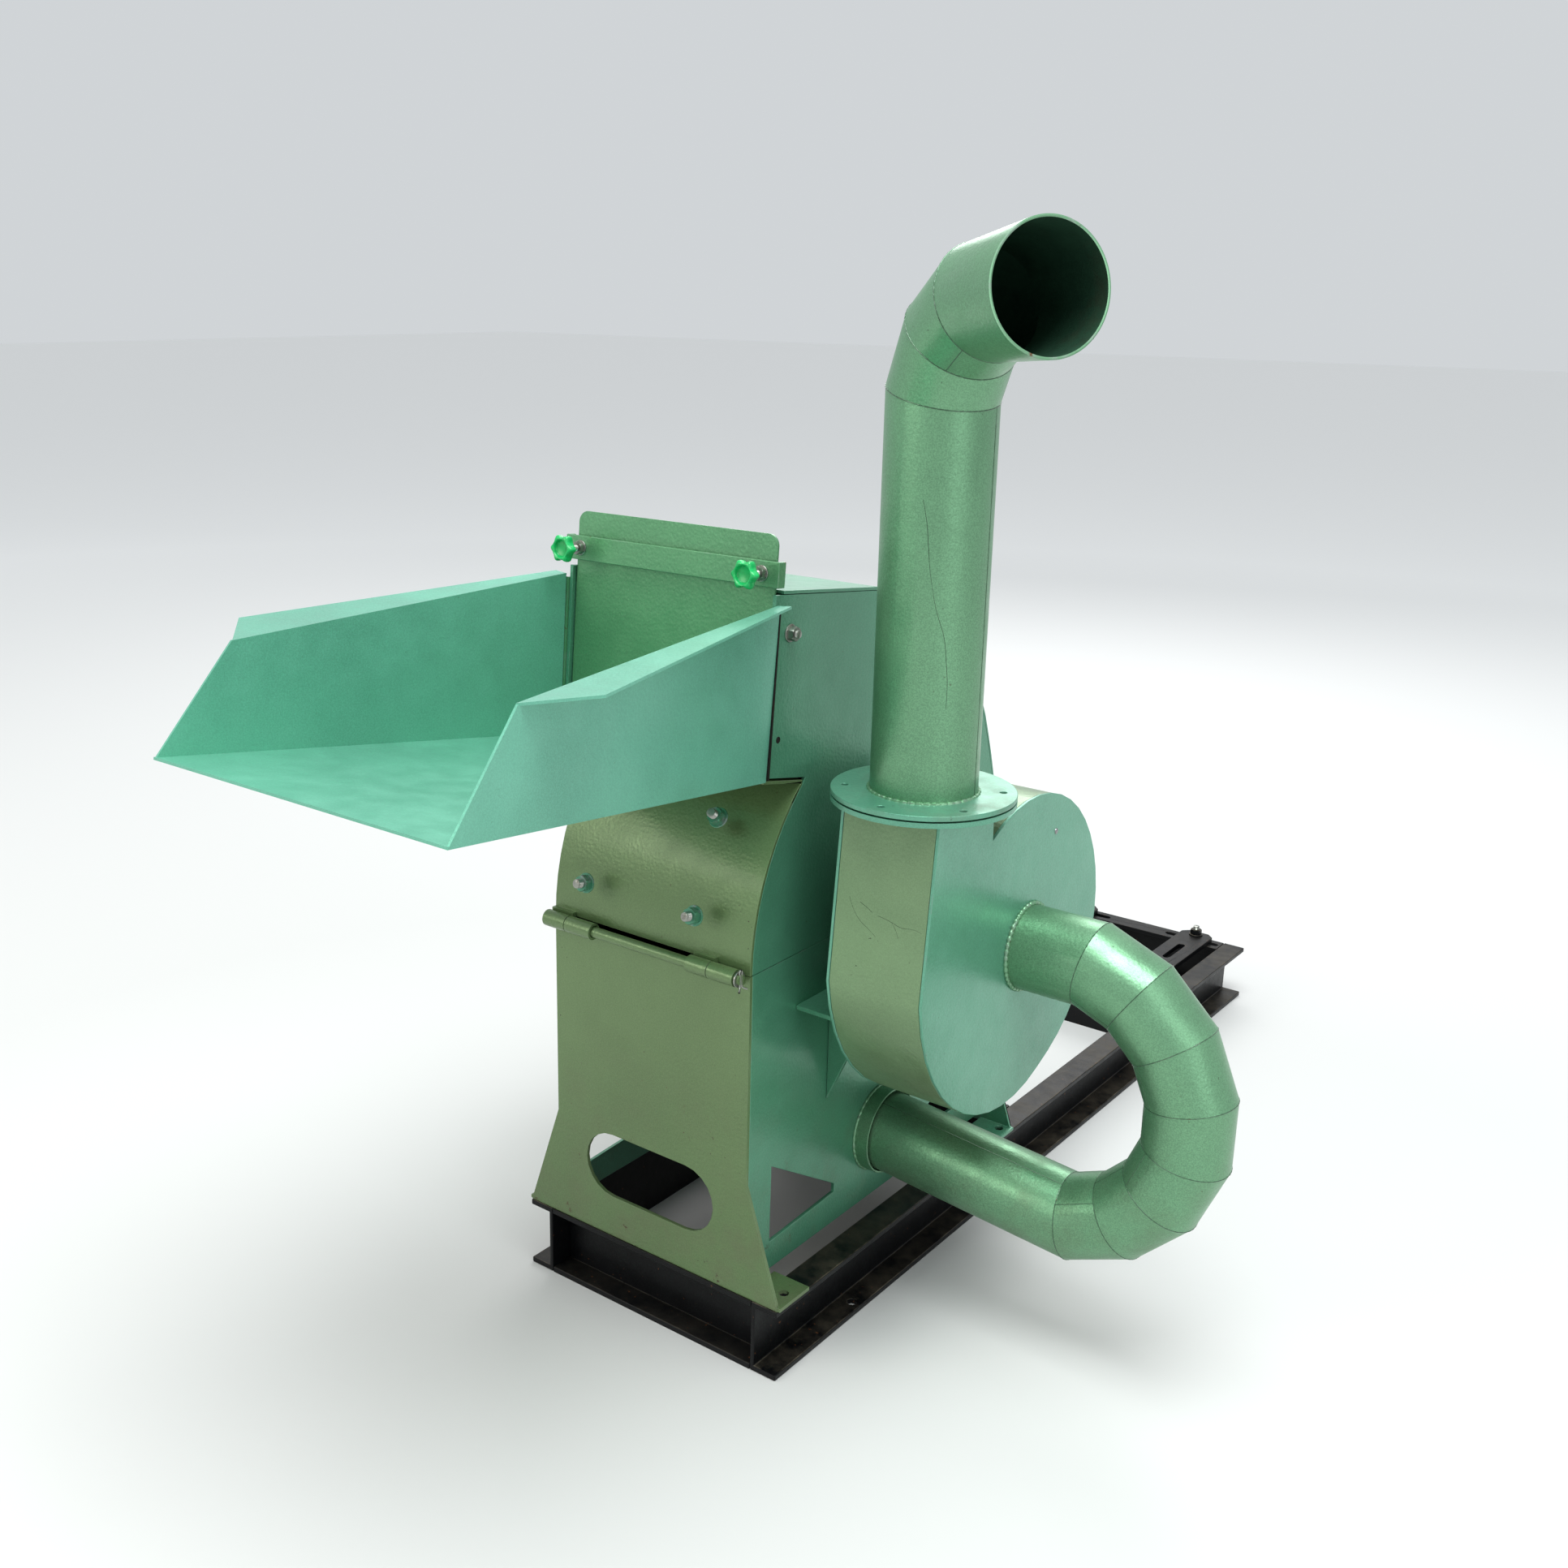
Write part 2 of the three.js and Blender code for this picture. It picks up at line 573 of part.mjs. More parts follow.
function flangeRing(z, inner) {
  const ring = polygon(ringPoints(FLANGE_R, 36, PIPE_X, PIPE_Y));
  const bore = ringPoints(inner, 28, PIPE_X, PIPE_Y);
  const bolts = [];
  for (let i = 0; i < 6; i += 1) {
    const angle = (Math.PI * (i + 0.5)) / 3;
    bolts.push(ringPoints(5, 8, PIPE_X + 93 * Math.cos(angle), PIPE_Y + 93 * Math.sin(angle)));
  }
  return plateXY(withHoles(ring, [bore, ...bolts]), z, FLANGE_THICK);
}

function dischargePipe() {
  const heading = new THREE.Vector3(Math.sin(ELBOW_AZIMUTH), -Math.cos(ELBOW_AZIMUTH), 0);
  const side = new THREE.Vector3(0, 0, 1).cross(heading).normalize();
  const foot = DUCT_TOP_Z + FLANGE_THICK + 2 + GAP;
  const path = [new THREE.Vector3(PIPE_X, PIPE_Y, foot), new THREE.Vector3(PIPE_X, PIPE_Y, ELBOW_JOINT_Z)];
  ELBOW_LEGS.forEach((length, i) => {
    const turn = ELBOW_STEP * (i + 1);
    const leg = heading.clone().multiplyScalar(Math.sin(turn)).setZ(Math.cos(turn));
    path.push(path[path.length - 1].clone().addScaledVector(leg, length));
  });
  const tube = mitredTube(path, side, PIPE_R, PIPE_R - PIPE_WALL, 28, MOUTH_R / PIPE_R);
  return join(tube, flangeRing(foot, PIPE_R - 1));
}

function suctionPipe() {
  const joints = 8;
  const step = Math.PI / joints;
  const middle = (AXIS_Z + LOOP_LOW_Z) / 2;
  const reach = (AXIS_Z - LOOP_LOW_Z) / 2 / Math.cos(step / 2);
  const path = [new THREE.Vector3(FAN_OUTER_X + GAP, AXIS_Y, AXIS_Z)];
  for (let i = 0; i < joints; i += 1) {
    const angle = Math.PI / 2 - step * (i + 0.5);
    path.push(new THREE.Vector3(
      LOOP_X + reach * Math.cos(angle), AXIS_Y, middle + reach * Math.sin(angle),
    ));
  }
  path.push(new THREE.Vector3(CASING_HALF + STUB_INSET, AXIS_Y, STUB_Z));
  return mitredTube(path, new THREE.Vector3(0, 1, 0), SUCTION_R, SUCTION_R - SUCTION_WALL, 24);
}

function fan() {
  const group = new THREE.Group();
  group.add(
    piece('fan_inner_plate', fanPlate(FAN_INNER_X, SHAFT_CLEAR_R), GREEN),
    piece('fan_outer_plate', fanPlate(FAN_OUTER_X - FAN_SHEET, SUCTION_R - SUCTION_WALL), GREEN),
    piece('fan_scroll', fanScroll(), GREEN),
    piece('fan_flange', flangeRing(DUCT_TOP_Z + GAP, PIPE_R - 3), GREEN),
    piece('suction_pipe', suctionPipe(), GREEN),
    piece('discharge_pipe', dischargePipe(), GREEN),
  );
  return group;
}

// ---------------------------------------------------------------- cover
const COVER_FOOT_Z = SPLIT_Z + 1;
const THROAT_TIP = { y: 97, z: 762 };
const THROAT_TOP_Z = 1005;
const throatY = (z) => THROAT_FOOT.y + (z - THROAT_FOOT.z) * Math.tan(THROAT_LEAN);

// The top of the cover falls gently, bends over and comes down to the split line.
function roofCurve(inset) {
  const slope = -0.11;
  const roofStart = throatY(THROAT_TOP_Z);
  const shape = new THREE.Path();
  shape.moveTo(roofStart, THROAT_TOP_Z - inset);
  shape.lineTo(254, THROAT_TOP_Z + slope * (254 - roofStart) - inset);
  shape.bezierCurveTo(373 - inset * 0.4, 969 - inset, 506 - inset, 861 - inset, 548 - inset, 760);
  shape.quadraticCurveTo(596 - inset, 645, 611 - inset, COVER_FOOT_Z);
  return shape.getPoints(7).map((point) => [point.x, point.y]);
}

function frontArc(radius) {
  const points = [];
  const [start, end, steps] = [180, 133.7, 9];
  for (let i = 0; i <= steps; i += 1) {
    const angle = THREE.MathUtils.degToRad(start + ((end - start) * i) / steps);
    const y = CASING_FRONT + COVER_FRONT_R + radius * Math.cos(angle);
    points.push([y, COVER_FOOT_Z + radius * Math.sin(angle)]);
  }
  return points;
}

// Side plate of the cover and throat, with a lip behind the gate that guides it.
function coverSide(sign) {
  const front = frontArc(COVER_FRONT_R - COVER_SHEET - 0.5);
  const tip = front[front.length - 1];
  const roof = roofCurve(COVER_SHEET + 0.5);
  const throatFoot = THROAT_FOOT.z + 4;
  const outline = polygon([
    ...front, [tip[0] + 6, THROAT_TIP.z + 6], [throatY(throatFoot) + 0.5, throatFoot],
    [throatY(THROAT_TOP_Z), THROAT_TOP_Z - 5], ...roof.slice(1),
  ]);
  const x = sign > 0 ? CASING_INNER : -CASING_HALF;
  const plate = plateYZ(outline, x, PLATE);
  const [x0, x1] = [140, CASING_INNER + 1].map((edge) => sign * edge).sort((a, b) => a - b);
  const lip = block(x0, x1, GATE_SETBACK + 3.5, GATE_SETBACK + 7.5, 6, 205);
  lip.rotateX(-THROAT_LEAN).translate(0, THROAT_FOOT.y, THROAT_FOOT.z);
  return surface(solid(plate).add(solid(lip)).subtract(solid(shaftOpening(x))));
}

// Curved front of the cover, turned forward at its top as the throat's floor.
function coverFrontWrap() {
  const outer = frontArc(COVER_FRONT_R);
  const inner = frontArc(COVER_FRONT_R - COVER_SHEET).reverse();
  const lipY = throatY(THROAT_FOOT.z) + 1;
  const outline = polygon([
    ...outer.slice(0, -1), [THROAT_TIP.y, THROAT_TIP.z], [lipY, THROAT_FOOT.z - 3], [lipY, THROAT_FOOT.z + 1],
    [THROAT_TIP.y + 3, THROAT_TIP.z + 4], ...inner,
  ].reverse());
  const sheet = plateYZ(outline, -CASING_HALF, 2 * CASING_HALF);
  const [barrelLow, barrelHigh] = [COVER_FOOT_Z + 0.5, COVER_FOOT_Z + 12];
  const barrels = COVER_BARRELS.flatMap(([x0, x1]) => hingeBarrel(x0, x1, barrelLow, barrelHigh));
  return join(sheet, ...barrels);
}

function coverRearWrap() {
  const outer = roofCurve(0).slice(1);
  const inner = roofCurve(COVER_SHEET).slice(1);
  const startY = throatY(THROAT_TOP_Z) + GATE_SETBACK + 9;
  const startZ = THROAT_TOP_Z - 0.11 * (startY - throatY(THROAT_TOP_Z));
  const outline = polygon([
    [startY, startZ], ...outer, ...inner.reverse(), [startY, startZ - COVER_SHEET],
  ].reverse());
  return plateYZ(outline, -CASING_HALF, 2 * CASING_HALF);
}

// Wear plate inside the cover, above the hammers.
function coverLiner() {
  const points = (radius) => {
    const row = [];
    const steps = 10;
    for (let i = 0; i <= steps; i += 1) {
      const angle = THREE.MathUtils.degToRad(10 + (85 * i) / steps);
      row.push([AXIS_Y + radius * Math.cos(angle), AXIS_Z + radius * Math.sin(angle)]);
    }
    return row;
  };
  const outline = polygon([...points(286), ...points(278).reverse()]);
  return plateYZ(outline, -CASING_INNER + GAP, 2 * (CASING_INNER - GAP));
}

// ---------------------------------------------------------------- tray, gate and clamps
const TRAY_SHEET = 3;
// Each side wall is flat: it spreads towards the front and leans a little outwards.
const wallCorner = (y, z) => new THREE.Vector3(151.1 - 0.1 * y + 0.02 * z, y, z);
const TRAY = {
  floorFront: wallCorner(-535.5, 858.4),
  floorRear: wallCorner(17.8, 782),
  wallFront: wallCorner(-436, 971),
  wallRear: wallCorner(35, 989),
  rimFront: new THREE.Vector3(272.3, -381.5, 979.5),
  rimRear: new THREE.Vector3(183, 35.2, 990.6),
};

// Sheet of even thickness on a flat polygon given by its corners, thickened towards `back`.
function sheetOn(corners, back, thickness) {
  const facing = ([a, b, c]) => b.clone().sub(a).cross(c.clone().sub(a)).normalize();
  if (facing(corners).dot(back) < 0) {
    corners.reverse();
  }
  const normal = facing(corners);
  const u = corners[1].clone().sub(corners[0]).normalize();
  const v = normal.clone().cross(u);
  const flat = corners.map((corner) => {
    const arm = corner.clone().sub(corners[0]);
    return [arm.dot(u), arm.dot(v)];
  });
  const basis = new THREE.Matrix4().makeBasis(u, v, normal).setPosition(corners[0]);
  return extrude(polygon(flat), thickness).applyMatrix4(basis);
}

function trayGeometry() {
  const flip = (point) => point.clone().setX(-point.x);
  const T = TRAY;
  const floor = sheetOn(
    [T.floorFront.clone(), T.floorRear.clone(), flip(T.floorRear), flip(T.floorFront)],
    new THREE.Vector3(0, 0, 1), TRAY_SHEET,
  );
  const sides = [1, -1].flatMap((sign) => {
    const at = (point) => (sign > 0 ? point.clone() : flip(point));
    const inward = new THREE.Vector3(-sign, 0, 0);
    const down = new THREE.Vector3(0, 0, -1);
    const root = (point) => at(point).addScaledVector(inward, TRAY_SHEET);
    const wall = sheetOn([T.floorFront, T.wallFront, T.wallRear, T.floorRear].map(at), inward, TRAY_SHEET);
    const edge = [root(T.wallFront), at(T.rimFront), at(T.rimRear), root(T.wallRear)];
    const rim = sheetOn(edge, down, TRAY_SHEET);
    return [wall, rim];
  });
  return join(floor, ...sides);
}

const STRAP_RETURN = 9;
// Clamp bar across the throat's top, bent back around both side plates.
function gateStrap() {
  const half = CASING_HALF + GAP;
  const outline = polygon([
    [-half - 4, -4], [half + 4, -4], [half + 4, STRAP_RETURN], [half, STRAP_RETURN], [half, -0.5],
    [-half, -0.5], [-half, STRAP_RETURN], [-half - 4, STRAP_RETURN],
  ]);
  const strap = plateXY(outline, 228, 30);
  const holes = [-140, 140].map((x) => plateXZ(polygon(ringPoints(5.2, 12, x, 243)), -8, 12));
  return cut(strap, ...holes);
}

function gateSheet() {
  const corner = 14;
  const shape = new THREE.Shape();
  shape.moveTo(-GATE_HALF, 0);
  shape.lineTo(GATE_HALF, 0);
  shape.lineTo(GATE_HALF, GATE_LENGTH - corner);
  shape.absarc(GATE_HALF - corner, GATE_LENGTH - corner, corner, 0, Math.PI / 2, false);
  shape.lineTo(-GATE_HALF + corner, GATE_LENGTH);
  shape.absarc(-GATE_HALF + corner, GATE_LENGTH - corner, corner, Math.PI / 2, Math.PI, false);
  return plateXZ(shape, GATE_SETBACK, 3, 5).translate(0, 0, 4);
}

const KNOB_FRONT = -42;
const KNOB_THICK = 15;
// Six-lobed hand knob with its clamping screw.
function starKnob(x) {
  const lobes = 6;
  const outline = [];
  for (let i = 0; i < lobes * 4; i += 1) {
    const angle = (2 * Math.PI * i) / (lobes * 4) + Math.PI / 24;
    const radius = i % 4 < 2 ? 18 : 12.5;
    outline.push([x + radius * Math.cos(angle), 243 + radius * Math.sin(angle)]);
  }
  const knob = plateXZ(polygon(outline), KNOB_FRONT, KNOB_THICK);
  const screwFront = KNOB_FRONT + KNOB_THICK - 3;
  const screw = plateXZ(polygon(ringPoints(4.5, 12, x, 243)), screwFront, GATE_SETBACK - 0.4 - screwFront);
  return join(knob, screw);
}

function cover() {
  const group = new THREE.Group();
  const throat = new THREE.Group();
  throat.position.set(0, THROAT_FOOT.y, THROAT_FOOT.z);
  throat.rotation.x = -THROAT_LEAN;
  throat.add(
    piece('gate_strap', gateStrap(), GREEN),
    piece('feed_gate', gateSheet(), GREEN),
    piece('gate_knob_right', starKnob(140), PLASTIC),
    piece('gate_knob_left', starKnob(-140), PLASTIC),
  );
  group.add(
    piece('cover_side_right', coverSide(1), GREEN),
    piece('cover_side_left', coverSide(-1), GREEN),
    piece('cover_front_wrap', coverFrontWrap(), GREEN),
    piece('cover_rear_wrap', coverRearWrap(), GREEN),
    piece('cover_liner', coverLiner(), CAST),
    piece('feed_tray', trayGeometry(), GREEN),
    throat,
  );
  return group;
}

// ---------------------------------------------------------------- assembly
const mill = new THREE.Group();
mill.position.y = -CHANNEL_WIDTH / 2;
mill.add(baseFrame(), lowerCasing(), rotor(), fan(), cover());
export default mill;
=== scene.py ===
import json
import math
import random

import bmesh
import bpy
from mathutils import Matrix, Vector


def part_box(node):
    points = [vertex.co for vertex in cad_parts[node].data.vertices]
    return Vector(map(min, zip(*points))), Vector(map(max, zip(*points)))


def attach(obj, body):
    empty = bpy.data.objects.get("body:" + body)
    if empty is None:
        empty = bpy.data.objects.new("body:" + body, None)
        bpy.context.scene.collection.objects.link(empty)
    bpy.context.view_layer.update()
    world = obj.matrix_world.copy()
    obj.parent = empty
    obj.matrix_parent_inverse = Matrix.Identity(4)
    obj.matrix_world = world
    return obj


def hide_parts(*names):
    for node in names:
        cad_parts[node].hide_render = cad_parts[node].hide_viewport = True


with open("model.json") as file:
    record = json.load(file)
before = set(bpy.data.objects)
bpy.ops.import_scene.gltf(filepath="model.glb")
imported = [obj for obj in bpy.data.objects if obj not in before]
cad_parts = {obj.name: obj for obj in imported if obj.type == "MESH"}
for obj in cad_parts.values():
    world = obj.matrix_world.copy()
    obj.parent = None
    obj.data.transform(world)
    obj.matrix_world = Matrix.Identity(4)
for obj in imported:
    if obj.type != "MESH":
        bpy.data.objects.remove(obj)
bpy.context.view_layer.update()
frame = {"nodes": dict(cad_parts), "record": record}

# Hammer mill: the CAD nodes keep their shape and get painted, worn materials and softened edges.
# The two pipes and the two knobs are rebuilt finer, and fasteners, weld beads, the hinge's cotter
# pin and grease nipples are added. Metres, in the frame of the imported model.

random.seed(7)

MM = 0.001


# ---------------------------------------------------------------- places, from the frame
def low(node):
    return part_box(node)[0]


def high(node):
    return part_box(node)[1]


def middle(node):
    return (low(node) + high(node)) / 2


def joint(name):
    return next(j for j in frame["record"]["behaviour"]["joints"] if j["name"] == name)


ROTOR_AXIS = middle("rotor_shaft")
CASING_SIDE = high("casing_side_right").x
FAN_FACE = high("fan_outer_plate").x
PIPE_AXIS = middle("fan_flange")
HINGE = Vector(joint("cover_hinge")["pos_m"])

# Sizes that only the looks use.
THROAT_LEAN = 0.081                       # how far the throat leans back, as a slope
THROAT_FOOT = Vector((0, -0.6 * MM, 781 * MM))
SUCTION_RADIUS = 54.6 * MM                # a little under the CAD tube, so the seams stay inside its box
DISCHARGE_RADIUS = 63.8 * MM
MOUTH_RADIUS = 69.8 * MM
TUBE_WALL = 3 * MM
FLANGE_THICK = 6 * MM
EDGE_WIDTH = 0.9
HEAVY_EDGE_WIDTH = 1.6
IRON_EDGE_WIDTH = 1.4
ROTOR_EDGE_WIDTH = 0.7


# ---------------------------------------------------------------- node-tree helpers
def linear(red, green, blue):
    """A screen colour, 0 to 255, as the renderer's linear colour."""
    return [((c / 255 + 0.055) / 1.055) ** 2.4 for c in (red, green, blue)] + [1.0]


def scaled(colour, factor):
    return [min(c * factor, 1.0) for c in colour[:3]] + [1.0]


def new_material(name, metallic, coat=0.0, coat_roughness=0.1):
    material = bpy.data.materials.new(name)
    material.use_nodes = True
    tree = material.node_tree
    shader = tree.nodes["Principled BSDF"]
    shader.inputs["Metallic"].default_value = metallic
    shader.inputs["Coat Weight"].default_value = coat
    shader.inputs["Coat Roughness"].default_value = coat_roughness
    return material, tree, shader


def feed(tree, socket, value):
    """Links an output into a socket, or sets a plain value on it."""
    if isinstance(value, bpy.types.NodeSocket):
        tree.links.new(value, socket)
    else:
        socket.default_value = value


def surface_place(tree, stretch=(1, 1, 1)):
    """The point on the piece, in metres, so that a pattern stays on it as it moves."""
    place = tree.nodes.new("ShaderNodeTexCoord").outputs["Object"]
    mapping = tree.nodes.new("ShaderNodeMapping")
    mapping.inputs["Scale"].default_value = stretch
    tree.links.new(place, mapping.inputs["Vector"])
    return mapping.outputs["Vector"]


def noise(tree, place, scale, detail=3.0, roughness=0.5):
    node = tree.nodes.new("ShaderNodeTexNoise")
    node.inputs["Scale"].default_value = scale
    node.inputs["Detail"].default_value = detail
    node.inputs["Roughness"].default_value = roughness
    tree.links.new(place, node.inputs["Vector"])
    return node.outputs["Fac"]


def cells(tree, place, scale):
    node = tree.nodes.new("ShaderNodeTexVoronoi")
    node.feature = "SMOOTH_F1"
    node.inputs["Scale"].default_value = scale
    tree.links.new(place, node.inputs["Vector"])
    return node.outputs["Distance"]


def band(tree, value, start, end, first=0.0, last=1.0):
    """Takes start to first and end to last, and holds the value outside them."""
    node = tree.nodes.new("ShaderNodeMapRange")
    feed(tree, node.inputs["Value"], value)
    for name, number in zip(("From Min", "From Max", "To Min", "To Max"), (start, end, first, last)):
        node.inputs[name].default_value = number
    return node.outputs["Result"]


def maths(tree, operation, first, second):
    node = tree.nodes.new("ShaderNodeMath")
    node.operation = operation
    feed(tree, node.inputs[0], first)
    feed(tree, node.inputs[1], second)
    return node.outputs["Value"]


def mix(tree, factor, first, second):
    node = tree.nodes.new("ShaderNodeMix")
    node.data_type = "RGBA"
    feed(tree, node.inputs[0], factor)
    feed(tree, node.inputs[6], first)
    feed(tree, node.inputs[7], second)
    return node.outputs[2]


def bump(tree, height, distance, normal=None):
    node = tree.nodes.new("ShaderNodeBump")
    node.inputs["Distance"].default_value = distance
    tree.links.new(height, node.inputs["Height"])
    if normal is not None:
        tree.links.new(normal, node.inputs["Normal"])
    return node.outputs["Normal"]


def facing_up(tree):
    """1 on level tops, 0 on walls."""
    normal = tree.nodes.new("ShaderNodeNewGeometry").outputs["Normal"]
    split = tree.nodes.new("ShaderNodeSeparateXYZ")
    tree.links.new(normal, split.inputs["Vector"])
    return band(tree, split.outputs["Z"], 0.5, 0.95)


def height_above_floor(tree, place):
    split = tree.nodes.new("ShaderNodeSeparateXYZ")
    tree.links.new(place, split.inputs["Vector"])
    return split.outputs["Z"]


# ---------------------------------------------------------------- materials
RUST = linear(96, 62, 38)
DUST = linear(150, 138, 116)
DARK = linear(26, 30, 26)
BARE = linear(168, 172, 172)


def enamel(name, tone, gloss=0.3, peel=0.35, brush=0.0, metal=0.45, coat=0.25, chips=0.5, grain=0.3):
    """Green metallic enamel, put on by hand: cloudy tone, fine flake, orange peel, specks, chips
    near the floor, and a duller film there. peel and brush are bump heights in millimetres."""
    material, tree, shader = new_material(name, metallic=metal, coat=coat, coat_roughness=0.18)
    place = surface_place(tree)
    cloud = band(tree, noise(tree, place, 4.5, 4.0), 0.3, 0.7)
    colour = mix(tree, cloud, scaled(tone, 0.86), scaled(tone, 1.1))
    flake = band(tree, noise(tree, place, 620.0, 3.0, 0.7), 0.4, 0.62)
    colour = mix(tree, maths(tree, "MULTIPLY", flake, grain), colour, scaled(tone, 1.6))

    film = band(tree, height_above_floor(tree, place), 0.42, 0.08)
    patches = band(tree, noise(tree, place, 16.0, 6.0, 0.65), 0.45, 0.7)
    grime = maths(tree, "MULTIPLY", film, patches)
    colour = mix(tree, maths(tree, "MULTIPLY", grime, 0.4), colour, scaled(DUST, 0.45))

    speck = band(tree, noise(tree, place, 210.0, 2.0), 0.735, 0.755)
    scatter = band(tree, noise(tree, place, 9.0, 3.0), 0.46, 0.62)
    speck = maths(tree, "MULTIPLY", maths(tree, "MULTIPLY", speck, scatter), chips)
    flaked = band(tree, noise(tree, place, 46.0, 7.0, 0.72), 0.66, 0.675, 0.0, chips)
    speck = maths(tree, "MAXIMUM", speck, maths(tree, "MULTIPLY", flaked, film))
    colour = mix(tree, speck, colour, mix(tree, cloud, RUST, DARK))
    tree.links.new(colour, shader.inputs["Base Color"])

    rough = band(tree, noise(tree, place, 30.0, 5.0), 0.3, 0.7, gloss - 0.05, gloss + 0.09)
    rough = maths(tree, "ADD", rough, maths(tree, "MULTIPLY", grime, 0.2))
    tree.links.new(rough, shader.inputs["Roughness"])

    normal = bump(tree, cells(tree, place, 260.0), peel * MM)
    normal = bump(tree, noise(tree, place, 20.0, 2.0), 0.8 * peel * MM, normal)
    if brush:
        strokes = noise(tree, surface_place(tree, (5, 60, 60)), 5.0, 4.0, 0.6)
        normal = bump(tree, strokes, brush * MM, normal)
    normal = bump(tree, speck, -0.2 * MM, normal)
    tree.links.new(normal, shader.inputs["Normal"])
    return material


def worn_edge(name, tone, bare=0.35, pale=1.05):
    """The same coat where it has thinned over an edge: paler, rubbed, with rust in places."""
    material, tree, shader = new_material(name, metallic=0.5, coat=0.2, coat_roughness=0.2)
    place = surface_place(tree)
    rubbed = band(tree, noise(tree, place, 42.0, 6.0, 0.7), 0.5, 0.66)
    colour = mix(tree, maths(tree, "MULTIPLY", rubbed, bare), scaled(tone, pale), scaled(BARE, 0.7))
    rusted = band(tree, noise(tree, place, 65.0, 5.0, 0.7), 0.63, 0.7)
    tree.links.new(mix(tree, rusted, colour, RUST), shader.inputs["Base Color"])
    tree.links.new(band(tree, rubbed, 0.0, 1.0, 0.3, 0.48), shader.inputs["Roughness"])
    tree.links.new(bump(tree, noise(tree, place, 260.0), 0.15 * MM), shader.inputs["Normal"])
    return material


def black_enamel(name, dust=0.14):
    """Thick black enamel on rolled steel: brushed waves, dust on level faces, small chips."""
    material, tree, shader = new_material(name, metallic=0.0, coat=0.07, coat_roughness=0.3)
    shader.inputs["Specular IOR Level"].default_value = 0.16
    place = surface_place(tree)
    tone = mix(tree, noise(tree, place, 12.0, 4.0), linear(3, 4, 5), linear(13, 14, 16))
    lying = maths(tree, "MULTIPLY", facing_up(tree), dust)
    lying = maths(tree, "MULTIPLY", lying, band(tree, noise(tree, place, 24.0, 7.0, 0.7), 0.38, 0.72))
    colour = mix(tree, lying, tone, DUST)
    chip = band(tree, noise(tree, place, 150.0, 3.0), 0.7, 0.73)
    tree.links.new(mix(tree, chip, colour, scaled(RUST, 0.8)), shader.inputs["Base Color"])
    rough = maths(tree, "ADD", band(tree, noise(tree, place, 40.0), 0.3, 0.7, 0.3, 0.45), lying)
    tree.links.new(rough, shader.inputs["Roughness"])
    normal = bump(tree, noise(tree, place, 70.0, 4.0), 0.5 * MM)
    tree.links.new(bump(tree, noise(tree, place, 600.0, 2.0), 0.06 * MM, normal), shader.inputs["Normal"])
    return material


def bare_metal(name, tone, rough, stain=0.25, grain=(1, 1, 1)):
    """Unpainted or plated steel with fine grain, stains and a little rust."""
    material, tree, shader = new_material(name, metallic=0.95)
    place = surface_place(tree)
    lines = noise(tree, surface_place(tree, grain), 420.0, 3.0)
    colour = mix(tree, lines, scaled(tone, 0.82), scaled(tone, 1.12))
    spots = band(tree, noise(tree, place, 75.0, 6.0, 0.7), 0.56, 0.7)
    spots = maths(tree, "MULTIPLY", spots, stain)
    tree.links.new(mix(tree, spots, colour, RUST), shader.inputs["Base Color"])
    roughness = band(tree, noise(tree, place, 55.0, 4.0), 0.3, 0.7, rough - 0.07, rough + 0.1)
    tree.links.new(maths(tree, "ADD", roughness, spots), shader.inputs["Roughness"])
    tree.links.new(bump(tree, lines, 0.05 * MM), shader.inputs["Normal"])
    return material


def cast_iron(name):
    """Grey iron with the skin of its sand mould."""
    material, tree, shader = new_material(name, metallic=0.75)
    place = surface_place(tree)
    skin = noise(tree, place, 380.0, 5.0, 0.65)
    colour = mix(tree, skin, linear(48, 50, 50), linear(86, 88, 87))
    rust = band(tree, noise(tree, place, 22.0, 6.0, 0.7), 0.55, 0.75, 0.0, 0.5)
    tree.links.new(mix(tree, rust, colour, scaled(RUST, 0.7)), shader.inputs["Base Color"])
    tree.links.new(band(tree, skin, 0.3, 0.7, 0.45, 0.7), shader.inputs["Roughness"])
    tree.links.new(bump(tree, skin, 0.4 * MM), shader.inputs["Normal"])
    return material


def raw_inside(name, shade=1.0, dark=linear(8, 8, 8), light=linear(30, 27, 24)):
    """Unpainted inner face: dark mill scale with meal dust and rust."""
    material, tree, shader = new_material(name, metallic=0.0)
    shader.inputs["Specular IOR Level"].default_value = 0.2
    place = surface_place(tree)
    scale = mix(tree, noise(tree, place, 26.0, 6.0, 0.65), dark, light)
    rust = band(tree, noise(tree, place, 9.0, 5.0, 0.7), 0.52, 0.74, 0.0, 0.6)
    colour = mix(tree, rust, scale, scaled(RUST, 0.55 * shade))
    tree.links.new(colour, shader.inputs["Base Color"])
    tree.links.new(band(tree, rust, 0.0, 0.6, 0.6, 0.85), shader.inputs["Roughness"])
    tree.links.new(bump(tree, noise(tree, place, 300.0, 5.0), 0.25 * MM), shader.inputs["Normal"])
    return material


